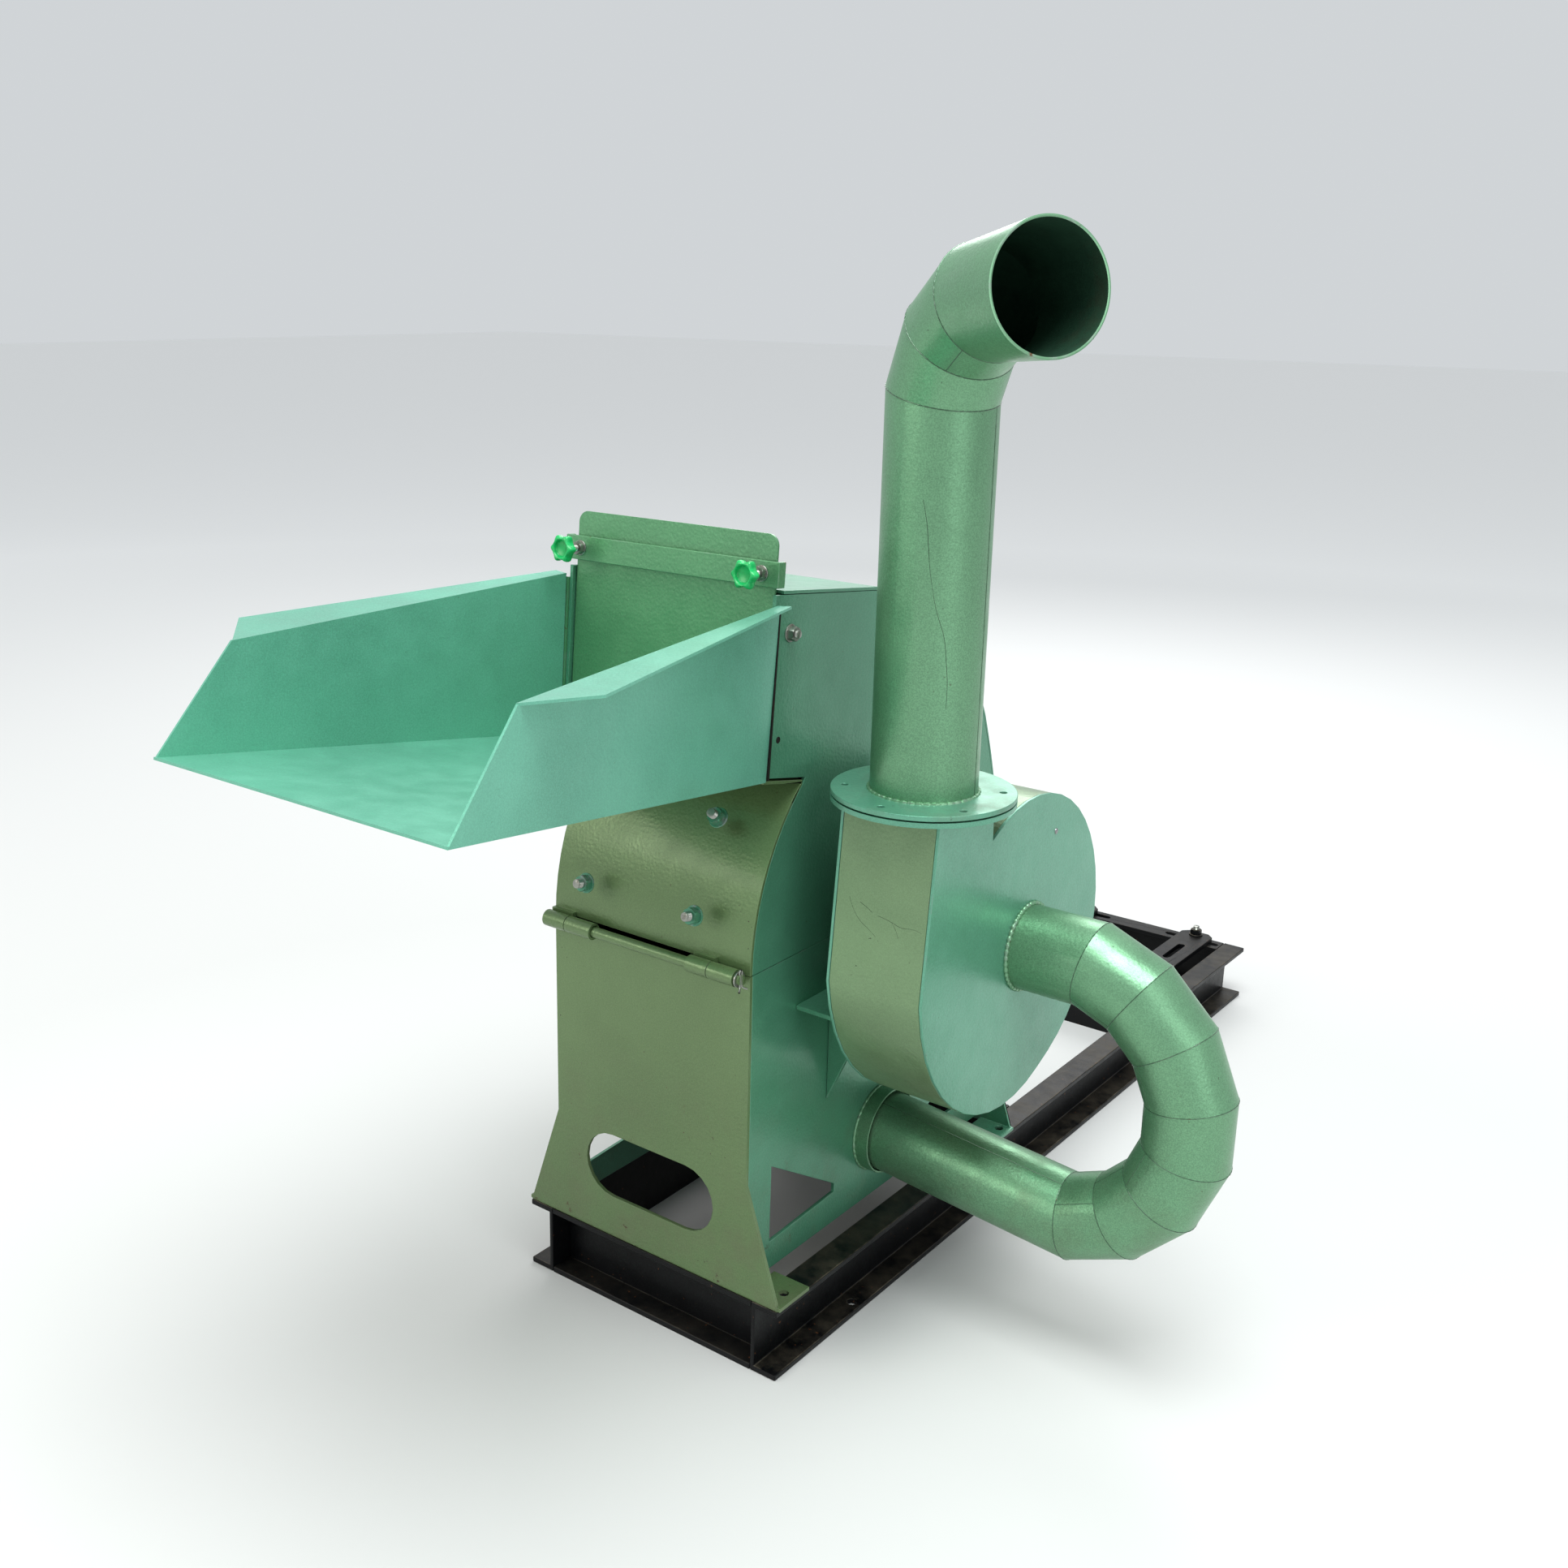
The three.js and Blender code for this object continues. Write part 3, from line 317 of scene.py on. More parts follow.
def moulded_plastic(name):
    """Bright moulded plastic, faintly mottled inside, with a satin moulding skin."""
    material, tree, shader = new_material(name, metallic=0.0)
    place = surface_place(tree)
    swirl = noise(tree, place, 130.0, 4.0)
    tree.links.new(mix(tree, swirl, linear(8, 132, 62), linear(30, 188, 104)), shader.inputs["Base Color"])
    tree.links.new(band(tree, swirl, 0.3, 0.7, 0.24, 0.36), shader.inputs["Roughness"])
    shader.inputs["Subsurface Weight"].default_value = 0.12
    shader.inputs["Subsurface Radius"].default_value = (0.002, 0.004, 0.002)
    tree.links.new(bump(tree, noise(tree, place, 900.0), 0.03 * MM), shader.inputs["Normal"])
    return material


# The paint is one green. These tones are lit and shaded copies of it: painted light and sky reflection make
# the tray bright teal, a painted warm ground reflection makes the front and the fan band olive, and painted
# shade darkens the sides. The fan, pipe and gate copies sit between.
LIT_TONES = {
    "teal": linear(102, 170, 146),
    "fan": linear(93, 154, 128),
    "band": linear(108, 136, 98),
    "side": linear(77, 136, 108),
    "front": linear(94, 118, 77),
    "pipe": linear(102, 146, 112),
    "gate": linear(86, 138, 98),
}
# One enamel for each lit or shaded copy of the paint.
PAINTS = {
    "teal": enamel("enamel_teal", LIT_TONES["teal"], gloss=0.36, peel=0.16, chips=0.3),
    "fan": enamel("enamel_fan", LIT_TONES["fan"], gloss=0.33, peel=0.26, chips=0.5),
    "side": enamel("enamel_side", LIT_TONES["side"], gloss=0.33, peel=0.26, chips=0.5),
    "band": enamel("enamel_band", LIT_TONES["band"], gloss=0.33, peel=0.26, chips=0.8),
    "front": enamel("enamel_front", LIT_TONES["front"], gloss=0.34, peel=0.3, brush=0.16, chips=0.9),
    "pipe": enamel("enamel_pipe", LIT_TONES["pipe"], gloss=0.36, peel=0.22, metal=0.68, coat=0.08, grain=0.6),
    "gate": enamel("enamel_gate", LIT_TONES["gate"], gloss=0.34, peel=0.24, chips=0.4),
}
# Worn edges in the same lit and shaded copies of the paint.
EDGES = {key: worn_edge(f"edge_{key}", tone) for key, tone in LIT_TONES.items()}
# The tray's rims are painted much paler: a painted sheen of grazing light on top of the rubbed wear.
EDGES["teal"] = worn_edge("edge_tray_wear_and_sheen", LIT_TONES["teal"], bare=0.5, pale=1.45)
SEAM = worn_edge("weld_seam", LIT_TONES["pipe"], bare=0.2, pale=0.42)
WELD = worn_edge("weld_bead", LIT_TONES["pipe"], bare=0.55, pale=1.15)
NUT_COAT = worn_edge("nut_coat", LIT_TONES["side"], bare=0.95)
BLACK = black_enamel("black_enamel")
BLACK_EDGE = black_enamel("black_edge", dust=0.4)
BLACK_BAR = black_enamel("black_bar", dust=0.04)
ZINC = bare_metal("zinc_plate", linear(152, 154, 147), 0.32, stain=0.4)
STEEL = bare_metal("machined_steel", linear(150, 150, 150), 0.32, stain=0.4, grain=(8, 1, 1))
IRON = cast_iron("grey_iron")
INSIDE = raw_inside("raw_inside")
# Inside of the discharge pipe: the pipe's green, much darker than its outside, with dark rust.
PIPE_INSIDE = raw_inside("pipe_inside", shade=0.35, dark=linear(14, 36, 26), light=linear(40, 74, 54))
PLASTIC = moulded_plastic("knob_plastic")
CRACK = raw_inside("paint_crack", shade=0.8)


# ---------------------------------------------------------------- shape helpers
class Shape:
    """Rings of points joined into one mesh; each run of rings has its own material."""

    def __init__(self):
        self.points = []
        self.faces = []
        self.slots = []

    def loft(self, rings, slot=0, closed=False, caps=True):
        count = len(rings[0])
        start = len(self.points)
        for ring in rings:
            self.points.extend(ring)
        for i in range(len(rings) if closed else len(rings) - 1):
            near = start + i * count
            far = start + (i + 1) % len(rings) * count
            for j in range(count):
                k = (j + 1) % count
                self.add_face((near + j, near + k, far + k, far + j), slot)
        if caps and not closed:
            self.add_face(range(start + count - 1, start - 1, -1), slot)
            self.add_face(range(start + (len(rings) - 1) * count, start + len(rings) * count), slot)

    def add_face(self, corners, slot):
        self.faces.append(tuple(corners))
        self.slots.append(slot)

    def build(self, name, body, materials, crease=35.0, place=None):
        mesh = bpy.data.meshes.new(name)
        mesh.from_pydata(self.points, [], self.faces)
        mesh.polygons.foreach_set("material_index", self.slots)
        sharpen(mesh, crease)
        for material in materials:
            mesh.materials.append(material)
        if place is not None:
            mesh.transform(place)
        return add_piece(name, mesh, body)


def sharpen(mesh, crease):
    """Shades a mesh smooth, but keeps every edge over crease degrees sharp."""
    work = bmesh.new()
    work.from_mesh(mesh)
    bmesh.ops.recalc_face_normals(work, faces=work.faces)
    for face in work.faces:
        face.smooth = True
    for edge in work.edges:
        edge.smooth = len(edge.link_faces) == 2 and edge.calc_face_angle() < math.radians(crease)
    work.to_mesh(mesh)
    work.free()


def add_piece(name, data, body):
    piece = bpy.data.objects.new(name, data)
    bpy.context.scene.collection.objects.link(piece)
    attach(piece, body)
    return piece


def stand_on(point, direction):
    """A place whose Z axis points along direction."""
    turn = Vector(direction).normalized().to_track_quat("Z", "Y")
    return Matrix.Translation(point) @ turn.to_matrix().to_4x4()


def circle(radius, height, sides=40):
    angles = [2 * math.pi * i / sides for i in range(sides)]
    return [Vector((radius * math.cos(a), radius * math.sin(a), height)) for a in angles]


def hexagon(flats, height, limit=1.0, sides=48):
    """A hexagon's outline, rounded off where it passes limit times its corner radius."""
    ring = []
    corner = flats / math.sqrt(3)
    for i in range(sides):
        angle = 2 * math.pi * i / sides
        folded = (angle + math.pi / 6) % (math.pi / 3) - math.pi / 6
        radius = min(flats / 2 / math.cos(folded), corner * limit)
        ring.append(Vector((radius * math.cos(angle), radius * math.sin(angle), height)))
    return ring


# ---------------------------------------------------------------- fasteners
def add_washer(shape, radius, thick, base=0.0, slot=0):
    edge = 0.15 * thick
    rings = [circle(radius - edge, base), circle(radius, base + edge),
             circle(radius, base + thick - edge), circle(radius - edge, base + thick)]
    shape.loft(rings, slot)


def add_nut(shape, flats, thick, base, slot=0):
    rings = [hexagon(flats, base, 0.93), hexagon(flats, base + 0.1 * thick),
             hexagon(flats, base + 0.86 * thick), hexagon(flats, base + thick, 0.9)]
    shape.loft(rings, slot)


def add_thread(shape, radius, start, end, pitch, slot=0):
    """A threaded end: ridges and roots in turn, with a chamfered tip."""
    rings = []
    for i in range(int((end - start) / pitch)):
        height = start + i * pitch
        rings += [circle(radius, height, 24), circle(radius * 0.87, height + pitch / 2, 24)]
    rings += [circle(radius * 0.95, end - pitch / 3, 24), circle(radius * 0.72, end, 24)]
    shape.loft(rings, slot)


def stud_with_nut(name, body, place, size, proud, materials):
    """Washer, nut and the end of a threaded stud of diameter size; materials are plate, thread."""
    shape = Shape()
    add_washer(shape, size * 1.08, size * 0.2)
    add_nut(shape, size * 1.58, size * 0.8, size * 0.2)
    add_thread(shape, size / 2, size * 0.9, proud, size * 0.15, 1)
    return shape.build(name, body, materials, place=place)


def cover_studs():
    """Four studs that hold the breaker plate inside the cover, square to its curved front."""
    radius = 307 * MM
    centre = Vector((0, low("cover_front_wrap").y + radius, HINGE.z))
    for i, (x, rise) in enumerate(((88, 66), (-88, 66), (85, 177), (-85, 177))):
        angle = math.asin(rise * MM / radius)
        out = Vector((0, -math.cos(angle), math.sin(angle)))
        point = centre + out * radius + Vector((x * MM, 0, 0))
        stud = stud_with_nut(f"cover_stud_{i + 1}", "cover", stand_on(point, out), 12 * MM, 21 * MM,
                             (NUT_COAT, ZINC))


def throat_nuts():
    """One nut, and one empty hole drawn as a dark disc of painted shade, where the tray's flange meets each
    throat side.
    """
    for side, sign in (("right", 1), ("left", -1)):
        wall = Vector((sign * CASING_SIDE, 0, 0))
        nut_at = wall + Vector((0, 45.8 * MM, 952 * MM))
        nut = stud_with_nut(f"throat_nut_{side}", "cover", stand_on(nut_at, (sign, 0, 0)), 10 * MM, 14 * MM,
                            (ZINC, ZINC))
        # A shallow dark disc on the plate: painted shade standing in for the empty hole.
        hole = Shape()
        hole.loft([circle(4.2 * MM, 0), circle(3.9 * MM, 0.35 * MM), circle(3.2 * MM, 0.35 * MM),
                   circle(2.9 * MM, 0.1 * MM)])
        hole_at = wall + Vector((0, 27.4 * MM, 826.7 * MM))
        piece = hole.build(f"throat_hole_shade_{side}", "cover", [INSIDE], place=stand_on(hole_at, (sign, 0, 0)))


def throat_strips():
    """A dark strip of painted shade for the gap, and the flange edge in green enamel, along each throat side
    behind the tray's rear edge.
    """
    turn = Matrix.Translation(THROAT_FOOT) @ Matrix.Rotation(-math.atan(THROAT_LEAN), 4, "X")
    inner_edge, gap_edge, outer_edge = 160.1, 164.2, 167.6
    front, step, rear = -1.0, 1.4, 4.0
    foot, head = 4, 204
    for side, sign in (("right", 1), ("left", -1)):
        shape = Shape()
        # Slot 0 is the painted shade of the gap between tray and throat side; slot 1 is the flange edge.
        strips = ((gap_edge, outer_edge, front, step, 0), (inner_edge, gap_edge, front, step, 1),
                  (inner_edge, gap_edge + 0.8, step, rear, 1))
        for inner, outer, near, far, slot in strips:
            corners = [(inner, near), (outer, near), (outer, far), (inner, far)]
            ends = [[Vector((sign * x * MM, y * MM, z * MM)) for x, y in corners] for z in (foot, head)]
            shape.loft(ends, slot)
        strip = shape.build(f"throat_flange_and_gap_shade_{side}", "cover", [INSIDE, EDGES["gate"]], place=turn)


def motor_bar_bolts():
    """Bolts that clamp the motor bars' ends to the cross members."""
    for side in ("right", "left"):
        start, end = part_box(f"motor_bar_{side}")
        for where, y in (("front", start.y + 20 * MM), ("rear", end.y - 18 * MM)):
            at = Vector(((start.x + end.x) / 2, y, end.z))
            bolt = stud_with_nut(f"bar_bolt_{side}_{where}", f"bar_{side}", stand_on(at, (0, 0, 1)),
                                 12 * MM, 19 * MM, (BLACK_EDGE, ZINC))


def bearing_fittings():
    """Two bolts through each bearing's feet and a grease nipple on its crown."""
    for side in ("right", "left"):
        node = f"bearing_housing_{side}"
        centre = middle(node)
        foot_top = low(node).z + 20 * MM
        for where, sign in (("front", -1), ("rear", 1)):
            at = Vector((centre.x, ROTOR_AXIS.y + sign * 92 * MM, foot_top + 0.5 * MM))
            bolt = stud_with_nut(f"bearing_bolt_{side}_{where}", "base", stand_on(at, (0, 0, 1)),
                                 14 * MM, 23 * MM, (ZINC, ZINC))
        nipple = Shape()
        add_nut(nipple, 9 * MM, 4 * MM, 0)
        nipple.loft([circle(3 * MM, 4 * MM), circle(2.2 * MM, 7 * MM), circle(3.1 * MM, 9.5 * MM),
                     circle(2.6 * MM, 11.5 * MM), circle(1.2 * MM, 12.4 * MM)])
        crown = Vector((centre.x, ROTOR_AXIS.y, high(node).z - 0.3 * MM))
        piece = nipple.build(f"grease_nipple_{side}", "base", [ZINC], place=stand_on(crown, (0, 0, 1)))


def fan_rivet():
    """Small rivet high on the fan's outer plate."""
    shape = Shape()
    shape.loft([circle(4 * MM, 0), circle(3.6 * MM, 0.9 * MM), circle(2 * MM, 1.6 * MM)])
    at = Vector((FAN_FACE, ROTOR_AXIS.y + 62 * MM, ROTOR_AXIS.z + 137 * MM))
    rivet = shape.build("fan_rivet", "base", [STEEL], place=stand_on(at, (1, 0, 0)))


def hinge_pin_end():
    """Washer and bent cotter pin at the right end of the hinge rod."""
    end = high("hinge_rod").x
    shape = Shape()
    add_washer(shape, 10.5 * MM, 2 * MM)
    at = Vector((end - 4.5 * MM, HINGE.y, HINGE.z))
    washer = shape.build("hinge_washer", "base", [ZINC], place=stand_on(at, (1, 0, 0)))

    wire = bpy.data.curves.new("hinge_cotter", "CURVE")
    wire.dimensions = "3D"
    wire.bevel_depth = 1.3 * MM
    wire.bevel_resolution = 3
    for lean in (-1, 1):
        route = [(0, 0.8 * lean, 12), (0, 3.2 * lean, 9.5), (0, 1.4 * lean, 6), (0, 1.3 * lean, -8),
                 (1.5, 3.5 * lean, -11.5), (4, 8 * lean, -13.5)]
        spline = wire.splines.new("NURBS")
        spline.points.add(len(route) - 1)
        for point, (x, y, z) in zip(spline.points, route):
            point.co = (end - 1 * MM + x * MM, HINGE.y + y * MM, HINGE.z + z * MM, 1)
        spline.use_endpoint_u = True
        spline.order_u = 3
    wire.materials.append(ZINC)
    cotter = add_piece("hinge_cotter", wire, "base")


# ---------------------------------------------------------------- welds and tubes
def weld_loop(shape, loop, radius, slot=0, ripple=5):
    """A closed weld bead along a loop of points: overlapping ripples of uneven height."""
    centre = sum(loop, Vector()) / len(loop)
    rings = []
    for i, point in enumerate(loop):
        along = (loop[(i + 1) % len(loop)] - loop[i - 1]).normalized()
        out = (point - centre).normalized()
        out = (out - along * out.dot(along)).normalized()
        up = along.cross(out)
        size = radius * (0.7 + 0.35 * abs(math.sin(math.pi * i / ripple)) + random.uniform(-0.08, 0.08))
        angles = [2 * math.pi * k / 8 for k in range(8)]
        rings.append([point + out * (size * math.cos(a)) + up * (size * math.sin(a)) for a in angles])
    shape.loft(rings, slot, closed=True)


def seam(shape, start, end, out, radius, slot=0, steps=36):
    """A straight, slightly uneven seam between two points, standing a little off the sheet."""
    along = (end - start).normalized()
    up = along.cross(out).normalized()
    rings = []
    for i in range(steps + 1):
        size = radius * random.uniform(0.7, 1.1)
        centre = start.lerp(end, i / steps)
        angles = [2 * math.pi * k / 6 for k in range(6)]
        rings.append([centre + out * (size * math.cos(a)) + up * (size * math.sin(a)) for a in angles])
    shape.loft(rings, slot)


def legs_of(path):
    return [(path[i + 1] - path[i]).normalized() for i in range(len(path) - 1)]


def mitre_ring(path, index, side, radius, sides=96):
    """The outline of a round tube where it turns at a point of its path."""
    legs = legs_of(path)
    before = legs[max(index - 1, 0)]
    after = legs[min(index, len(legs) - 1)]
    along = (before + after).normalized()
    across = along.cross(side) / math.cos(before.angle(after) / 2)
    angles = [2 * math.pi * i / sides for i in range(sides)]
    return [path[index] + side * (radius * math.cos(a)) + across * (radius * math.sin(a)) for a in angles]


def add_tube(shape, path, side, radius, wall, mouth=1.0):
    """A mitred tube, open at both ends; mouth widens its last ring. Slot 1 is its inside."""
    last = len(path) - 1
    outer = [mitre_ring(path, i, side, radius * (mouth if i == last else 1)) for i in range(last + 1)]
    inner = [mitre_ring(path, i, side, radius * (mouth if i == last else 1) - wall) for i in range(last + 1)]
    shape.loft(outer, 0, caps=False)
    shape.loft(inner[::-1], 1, caps=False)
    shape.loft([inner[0], outer[0]], 0, caps=False)
    crown = [(point + other) / 2 + legs_of(path)[-1] * 0.4 * MM for point, other in zip(outer[-1], inner[-1])]
    shape.loft([outer[-1], crown, inner[-1]], 2, caps=False)
    return outer


def suction_path():
    """From the fan's eye round a half circle of eight mitred joints and back to the casing."""
    joints = 8
    step = math.pi / joints
    low_z = 190 * MM
    loop_x = 424 * MM
    centre_z = (ROTOR_AXIS.z + low_z) / 2
    reach = (ROTOR_AXIS.z - low_z) / 2 / math.cos(step / 2)
    path = [Vector((FAN_FACE + 0.3 * MM, ROTOR_AXIS.y, ROTOR_AXIS.z))]
    for i in range(joints):
        angle = math.pi / 2 - step * (i + 0.5)
        x = loop_x + reach * math.cos(angle)
        path.append(Vector((x, ROTOR_AXIS.y, centre_z + reach * math.sin(angle))))
    stub = middle("suction_stub")
    path.append(Vector((CASING_SIDE + 8 * MM, stub.y, stub.z)))
    return path


def suction_pipe():
    path = suction_path()
    side = Vector((0, 1, 0))
    radius = SUCTION_RADIUS
    shape = Shape()
    outer = add_tube(shape, path, side, radius, TUBE_WALL)
    for i in range(1, len(path) - 1):
        weld_loop(shape, mitre_ring(path, i, side, radius - 0.1 * MM, 220), 0.7 * MM, 2)
    for i in range(len(path) - 1):
        spot = 58 if i % 2 else 66
        start, end = outer[i][spot], outer[i + 1][spot]
        out = (start - path[i]).normalized()
        seam(shape, start - out * 0.2 * MM, end - out * 0.2 * MM, out, 0.6 * MM, 2)
    pipe = shape.build("suction_loop", "base", [PAINTS["pipe"], INSIDE, SEAM], crease=8)
    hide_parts("suction_pipe")

    beads = Shape()
    eye = [Vector((FAN_FACE + 1.4 * MM, p.y, p.z)) for p in mitre_ring(path, 0, side, radius + 1.2 * MM, 260)]
    weld_loop(beads, eye, 3.4 * MM, ripple=6)
    stub_radius = (high("suction_stub").z - low("suction_stub").z) / 2
    stub = middle("suction_stub")
    angles = [2 * math.pi * i / 240 for i in range(240)]
    foot_x = CASING_SIDE + 0.9 * MM
    foot = [Vector((foot_x, stub.y + stub_radius * math.cos(a), stub.z + stub_radius * math.sin(a)))
            for a in angles]
    weld_loop(beads, foot, 2.4 * MM, ripple=6)
    bead = beads.build("suction_welds", "base", [WELD], crease=60)


def discharge_path():
    """Straight up from the flange, then three mitred joints towards the front right."""
    azimuth = math.radians(60)
    heading = Vector((math.sin(azimuth), -math.cos(azimuth), 0))
    foot = high("fan_flange").z + 2 * MM
    path = [Vector((PIPE_AXIS.x, PIPE_AXIS.y, foot)), Vector((PIPE_AXIS.x, PIPE_AXIS.y, 1228 * MM))]
    for i, length in enumerate((70, 64, 117)):
        turn = math.radians(27.5) * (i + 1)
        path.append(path[-1] + (heading * math.sin(turn) + Vector((0, 0, math.cos(turn)))) * length * MM)
    return path, Vector((0, 0, 1)).cross(heading)


def discharge_pipe():
    path, side = discharge_path()
    radius = DISCHARGE_RADIUS
    shape = Shape()
    outer = add_tube(shape, path, side, radius, TUBE_WALL, MOUTH_RADIUS / DISCHARGE_RADIUS)
    for i in range(1, len(path) - 1):
        weld_loop(shape, mitre_ring(path, i, side, radius - 0.1 * MM, 260), 0.8 * MM, 3)
    for i, spot in ((0, 82), (1, 30), (2, 62), (3, 84)):
        start, end = outer[i][spot], outer[i + 1][spot]
        out = (start - path[i]).normalized()
        seam(shape, start - out * 0.2 * MM, end - out * 0.2 * MM, out, 0.7 * MM, 3, steps=90)
    foot = [point + Vector((0, 0, FLANGE_THICK)) for point in mitre_ring(path, 0, side, radius + 1 * MM, 260)]
    weld_loop(shape, foot, 2.6 * MM, 2, ripple=6)
    pipe = shape.build("discharge_elbow", "discharge", [PAINTS["pipe"], PIPE_INSIDE, WELD, SEAM], crease=8)
    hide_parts("discharge_pipe")
    discharge_flange(path[0])


def discharge_flange(foot):
    """Loose upper flange with six empty bolt holes, as a filled outline given a thickness."""
    plate = bpy.data.curves.new("discharge_flange", "CURVE")
    plate.dimensions = "2D"
    plate.fill_mode = "BOTH"
    plate.extrude = FLANGE_THICK / 2 - 0.6 * MM
    plate.bevel_depth = 0.6 * MM
    plate.bevel_resolution = 2
    holes = [(5 * MM, 93 * MM, math.radians(30 + 60 * i), 28) for i in range(6)]
    for radius, orbit, angle, sides in [(109.2 * MM, 0, 0, 120), (62.5 * MM, 0, 0, 96), *holes]:
        spline = plate.splines.new("POLY")
        spline.points.add(sides - 1)
        spline.use_cyclic_u = True
        middle_x, middle_y = orbit * math.cos(angle), orbit * math.sin(angle)
        for point, spot in zip(spline.points, circle(radius, 0, sides)):
            point.co = (spot.x + middle_x, spot.y + middle_y, 0, 1)
    plate.materials.append(PAINTS["fan"])
    flange = add_piece("discharge_flange", plate, "discharge")
    flange.matrix_world = Matrix.Translation(foot + Vector((0, 0, FLANGE_THICK / 2)))


def hairline(name, body, points, width):
    """A crack or scratch in the paint: a fine dark line through points lying on a surface."""
    line = bpy.data.curves.new(name, "CURVE")
    line.dimensions = "3D"
    line.bevel_depth = width * MM / 2
    spline = line.splines.new("NURBS")
    spline.points.add(len(points) - 1)
    for point, place in zip(spline.points, points):
        point.co = (*place, 1)
        point.radius = random.uniform(0.5, 1.2)
    spline.use_endpoint_u = True
    spline.order_u = 3
    line.materials.append(CRACK)
    piece = add_piece(name, line, body)


def paint_cracks():
    """The long crack down the discharge pipe and the scratches on the fan's front wall."""
    reach = DISCHARGE_RADIUS + 0.05 * MM
    crack_width, scratch_width = 0.45, 0.4
    run = [(-74, 1118), (-69, 1096), (-66, 1062), (-64, 1040), (-57, 1000), (-52, 984), (-46, 966),
           (-43, 938), (-40, 908), (-41, 884)]
    hairline("pipe_crack", "discharge",
             [(PIPE_AXIS.x + reach * math.cos(math.radians(a)),
               PIPE_AXIS.y + reach * math.sin(math.radians(a)), z * MM) for a, z in run], crack_width)
    wall = low("fan_scroll").y
    scratches = (((263, 655), (268, 640), (279, 627), (292, 620), (301, 613)),
                 ((278, 651), (288, 647), (295, 642)),
                 ((303, 640), (318, 638), (335, 632), (352, 636), (362, 633)),
                 ((322, 636), (329, 628), (331, 619)))
    for i, marks in enumerate(scratches):
        places = [(x * MM, wall, z * MM) for x, z in marks]
        hairline(f"fan_scratch_{i + 1}", "base", places, scratch_width)


# ---------------------------------------------------------------- clamp knobs
def lobed(radius, height, depth):
    """A six-lobed outline; depth is how far the valleys between the lobes cut in."""
    ring = []
    sides = 144
    for i in range(sides):
        angle = 2 * math.pi * i / sides
        wave = 0.5 + 0.5 * math.cos(6 * angle)
        reach = radius - depth * (1 - wave ** 1.5)
        ring.append(Vector((reach * math.cos(angle), reach * math.sin(angle), height)))
    return ring


def clamp_knobs():
    """Star knob with a sunk centre, its screw, and the nut and washer against the strap."""
    profile = [(7.0, 0.0, -7.5), (8.0, 0.0, -7.4), (11.5, 0.6, -6.8), (15.0, 2.4, -5.6), (17.2, 3.7, -3.4),
               (17.9, 4.0, -0.5), (17.9, 4.0, 2.6), (17.2, 3.8, 5.2), (15.6, 2.8, 6.9), (13.6, 1.1, 7.5),
               (12.0, 0.2, 7.5), (11.0, 0.0, 6.9), (10.4, 0.0, 5.0), (9.8, 0.0, 2.6), (8.8, 0.0, 1.9)]
    screw_tip, knob_back = -39.5 * MM, -7.2 * MM
    strap_front, washer_thick = -30.4 * MM, 1.6 * MM
    for side in ("right", "left"):
        turn = joint(f"knob_{side}_turn")
        place = stand_on(Vector(turn["pos_m"]), turn["axis"])
        rings = [lobed(radius * MM, height * MM, depth * MM) for radius, depth, height in profile]
        star = Shape()
        star.loft(rings)
        knob = star.build(f"star_knob_{side}", f"knob_{side}", [PLASTIC], crease=50, place=place)
        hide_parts(f"gate_knob_{side}")

        screw = Shape()
        add_thread(screw, 4.2 * MM, screw_tip, knob_back, 1.25 * MM)
        piece = screw.build(f"knob_screw_{side}", f"knob_{side}", [ZINC], place=place)

        fixed = Shape()
        add_washer(fixed, 9.5 * MM, washer_thick, strap_front)
        add_nut(fixed, 15 * MM, 7 * MM, strap_front + washer_thick)
        piece = fixed.build(f"knob_nut_{side}", "cover", [ZINC], place=place)


# ---------------------------------------------------------------- CAD nodes: edges and coats
def coat(node, paint, edge, width=EDGE_WIDTH):
    """Gives a CAD node its material and softened edges, width in millimetres."""
    piece = frame["nodes"][node]
    mesh = piece.data
    mesh.materials.clear()
    mesh.materials.append(paint)
    mesh.materials.append(edge)
    mesh.polygons.foreach_set("material_index", [0] * len(mesh.polygons))
    if "custom_normal" in mesh.attributes:
        mesh.attributes.remove(mesh.attributes["custom_normal"])
    mesh.shade_smooth()
    weld = piece.modifiers.new("weld", "WELD")
    weld.merge_threshold = 0.00002
    bevel = piece.modifiers.new("edge", "BEVEL")
    bevel.width = width * MM
    bevel.segments = 2
    bevel.limit_method = "ANGLE"
    bevel.angle_limit = math.radians(34)
    bevel.harden_normals = True
    bevel.material = 1


# Each node takes the lit or shaded copy of the paint that matches how light falls on it: painted light,
# painted reflection or painted shade.
COATS = {
    "teal": ["feed_tray"],
    "gate": ["feed_gate", "gate_strap"],
    "front": ["cover_front_wrap", "casing_front_plate", "hinge_rod"],
    "side": ["cover_side_right", "cover_side_left", "cover_rear_wrap", "casing_side_right",
             "casing_side_left", "casing_rear_plate", "bearing_bracket_right", "bearing_bracket_left"],
    "fan": ["fan_inner_plate", "fan_outer_plate", "fan_flange"],
    "band": ["fan_scroll"],
    "pipe": ["suction_stub"],
}
IN_BLACK = ["frame_rail_right", "frame_rail_left"]
IN_MATT_BLACK = ["frame_cross_front", "frame_cross_middle", "frame_cross_motor", "frame_cross_rear",
                 "motor_bar_right", "motor_bar_left"]
IN_IRON = ["bearing_housing_right", "bearing_housing_left", "drive_pulley", "cover_liner"]


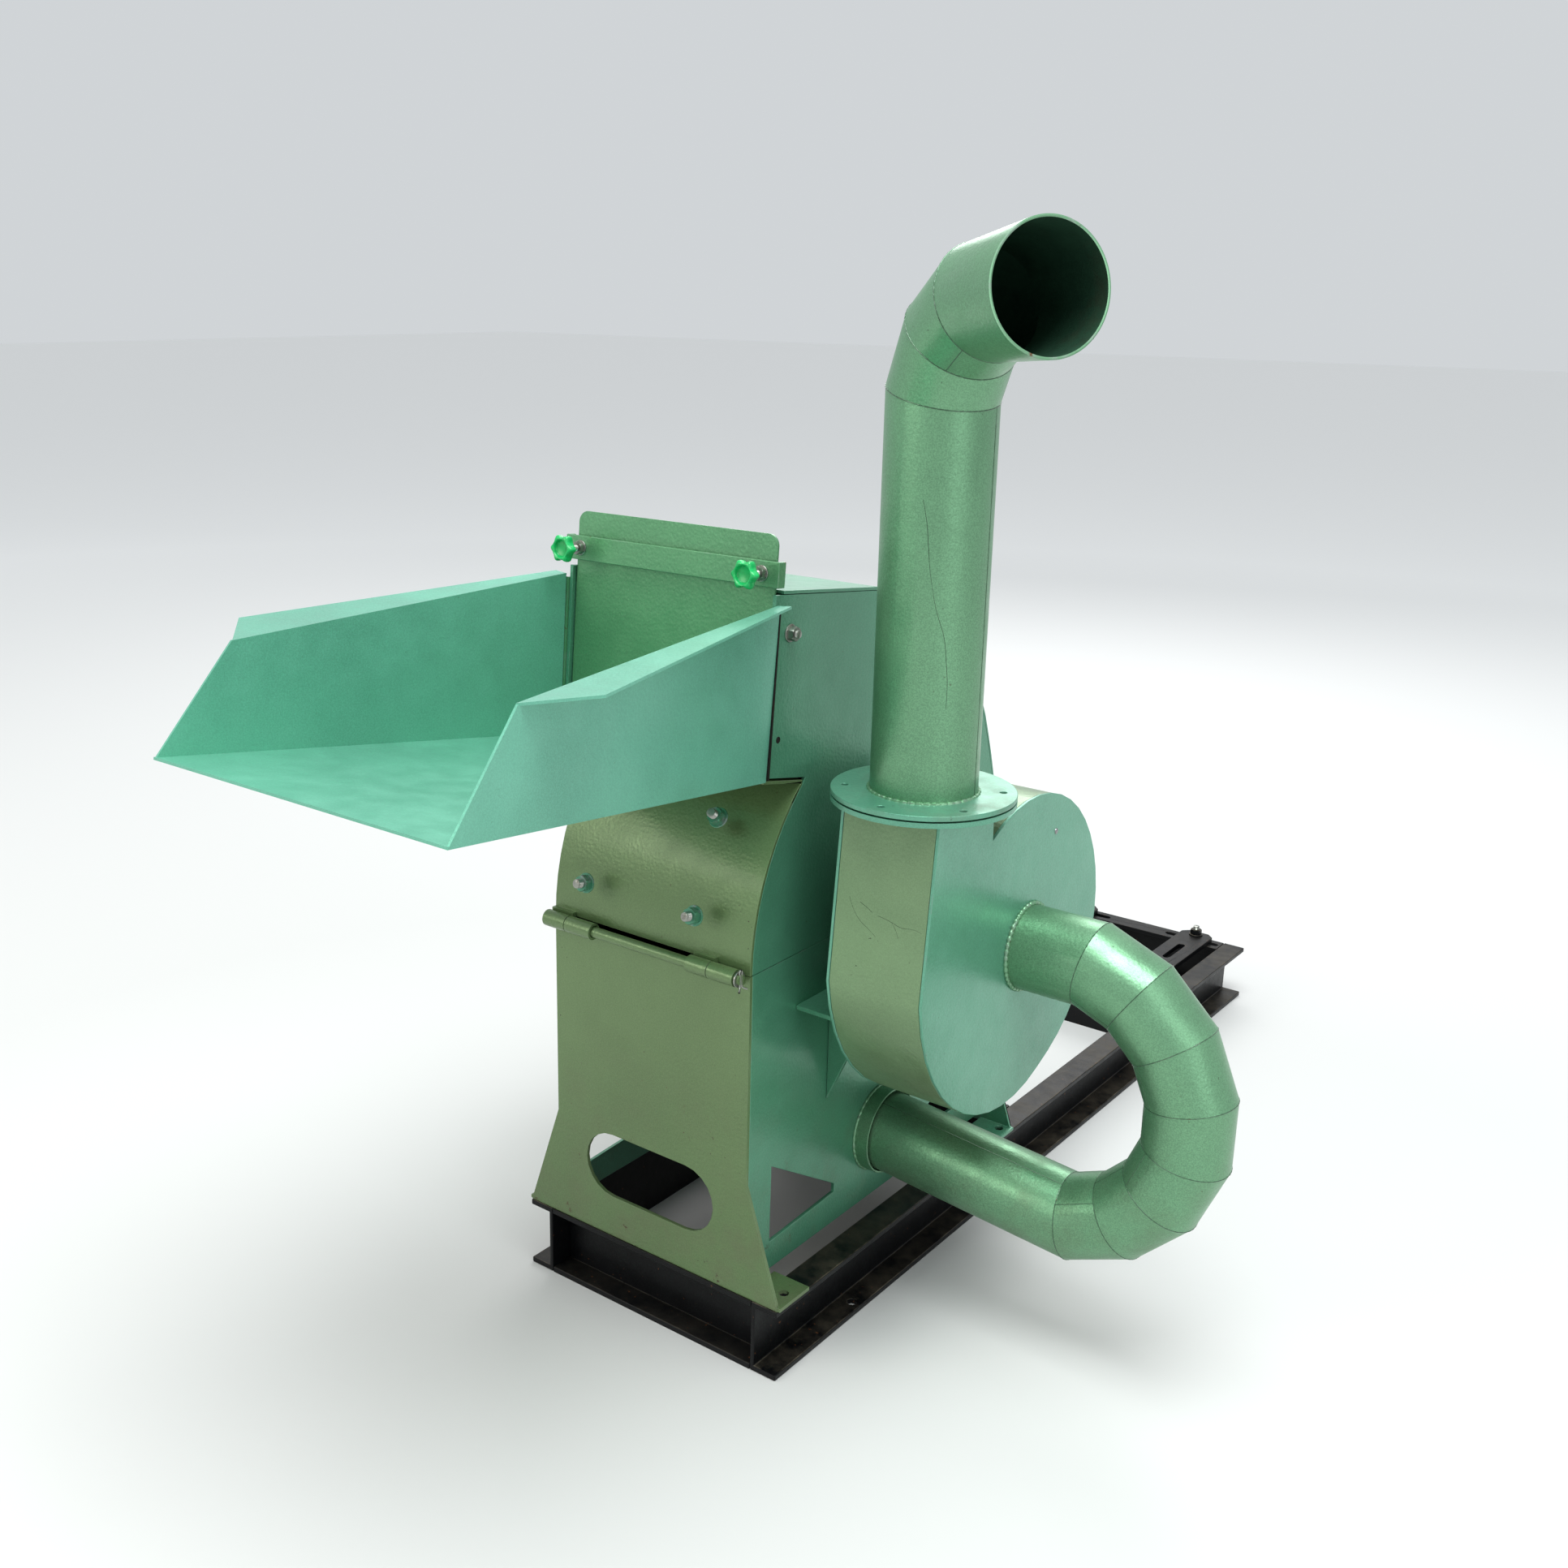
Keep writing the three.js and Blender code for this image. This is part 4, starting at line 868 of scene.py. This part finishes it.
def coat_nodes():
    for key, nodes in COATS.items():
        for node in nodes:
            coat(node, PAINTS[key], EDGES[key])
    for node in IN_BLACK:
        coat(node, BLACK, BLACK_EDGE, HEAVY_EDGE_WIDTH)
    for node in IN_MATT_BLACK:
        coat(node, BLACK_BAR, BLACK, HEAVY_EDGE_WIDTH)
    for node in IN_IRON:
        coat(node, IRON, STEEL if node == "drive_pulley" else IRON, IRON_EDGE_WIDTH)
    for node in ("collecting_hopper", "screen"):
        coat(node, INSIDE, INSIDE)
    for node in frame["nodes"]:
        if node == "rotor_shaft" or node.startswith(("rotor_disc", "hammer_")) or node == "fan_impeller":
            coat(node, STEEL, STEEL, ROTOR_EDGE_WIDTH)


# ---------------------------------------------------------------- stage, light and camera
def add_floor():
    material, tree, shader = new_material("pale_floor", metallic=0.0)
    place = surface_place(tree)
    reach_out = tree.nodes.new("ShaderNodeVectorMath")
    reach_out.operation = "LENGTH"
    tree.links.new(place, reach_out.inputs[0])
    # Painted light: the floor is darker within 1.5 m of the mill and painted brighter out to 7 m, evening out
    # the lamps' light as it falls off towards the horizon.
    far = band(tree, reach_out.outputs["Value"], 1.5, 7.0)
    tree.links.new(mix(tree, far, linear(200, 200, 198), linear(250, 250, 249)), shader.inputs["Base Color"])
    shader.inputs["Roughness"].default_value = 0.9
    mesh = bpy.data.meshes.new("floor")
    reach = 30
    mesh.from_pydata([(-reach, -reach, 0), (reach, -reach, 0), (reach, reach, 0), (-reach, reach, 0)], [],
                     [(0, 1, 2, 3)])
    mesh.materials.append(material)
    floor = bpy.data.objects.new("floor", mesh)
    floor.location.z = -0.2 * MM
    bpy.context.scene.collection.objects.link(floor)


def add_light(name, place, size, power, colour=(1, 1, 1)):
    """A soft square light aimed at the middle of the mill."""
    light = bpy.data.lights.new(name, "AREA")
    light.shape = "SQUARE"
    light.size = size
    light.energy = power
    light.color = colour
    lamp = bpy.data.objects.new(name, light)
    lamp.location = place
    lamp.rotation_mode = "QUATERNION"
    lamp.rotation_quaternion = (Vector((0, 0.2, 0.6)) - Vector(place)).to_track_quat("-Z", "Y")
    bpy.context.scene.collection.objects.link(lamp)


def add_sky():
    world = bpy.data.worlds.new("studio")
    world.use_nodes = True
    sky = world.node_tree.nodes["Background"]
    sky.inputs["Color"].default_value = (0.93, 0.97, 1.0, 1)
    sky.inputs["Strength"].default_value = 0.68
    bpy.context.scene.world = world


def add_camera():
    """The camera's seat, turn and lens."""
    seat = Vector((1.2616, -1.5096, 1.3461))
    azimuth, elevation, roll = map(math.radians, (38.41, 16.03, 0.63))
    back = Vector((math.sin(azimuth) * math.cos(elevation), -math.cos(azimuth) * math.cos(elevation),
                   math.sin(elevation)))
    right = (-back).cross(Vector((0, 0, 1))).normalized()
    up = back.cross(right)
    axis_x = right * math.cos(roll) + up * math.sin(roll)
    axis_y = up * math.cos(roll) - right * math.sin(roll)
    turn = Matrix((axis_x, axis_y, back)).transposed()
    lens = bpy.data.cameras.new("camera")
    lens.lens = 38.29
    lens.sensor_width = 36
    lens.shift_x = 0.0537
    lens.shift_y = -0.0164
    camera = bpy.data.objects.new("camera", lens)
    camera.matrix_world = Matrix.Translation(seat) @ turn.to_4x4()
    bpy.context.scene.collection.objects.link(camera)
    bpy.context.scene.camera = camera


# ---------------------------------------------------------------- the scene
add_camera()
add_floor()
add_sky()
add_light("top", (0.9, -0.5, 4.4), 2.6, 210, (0.95, 0.99, 1.0))
add_light("key", (-2.0, -3.8, 2.8), 2.4, 75, (1.0, 0.96, 0.88))
add_light("fill", (3.8, -1.2, 2.0), 2.2, 30, (0.96, 0.99, 1.0))
add_light("rim", (-1.4, 3.6, 3.2), 2.4, 80)
bpy.context.scene.view_settings.view_transform = "Standard"

coat_nodes()
suction_pipe()
discharge_pipe()
clamp_knobs()
cover_studs()
throat_nuts()
throat_strips()
motor_bar_bolts()
bearing_fittings()
fan_rivet()
hinge_pin_end()
paint_cracks()
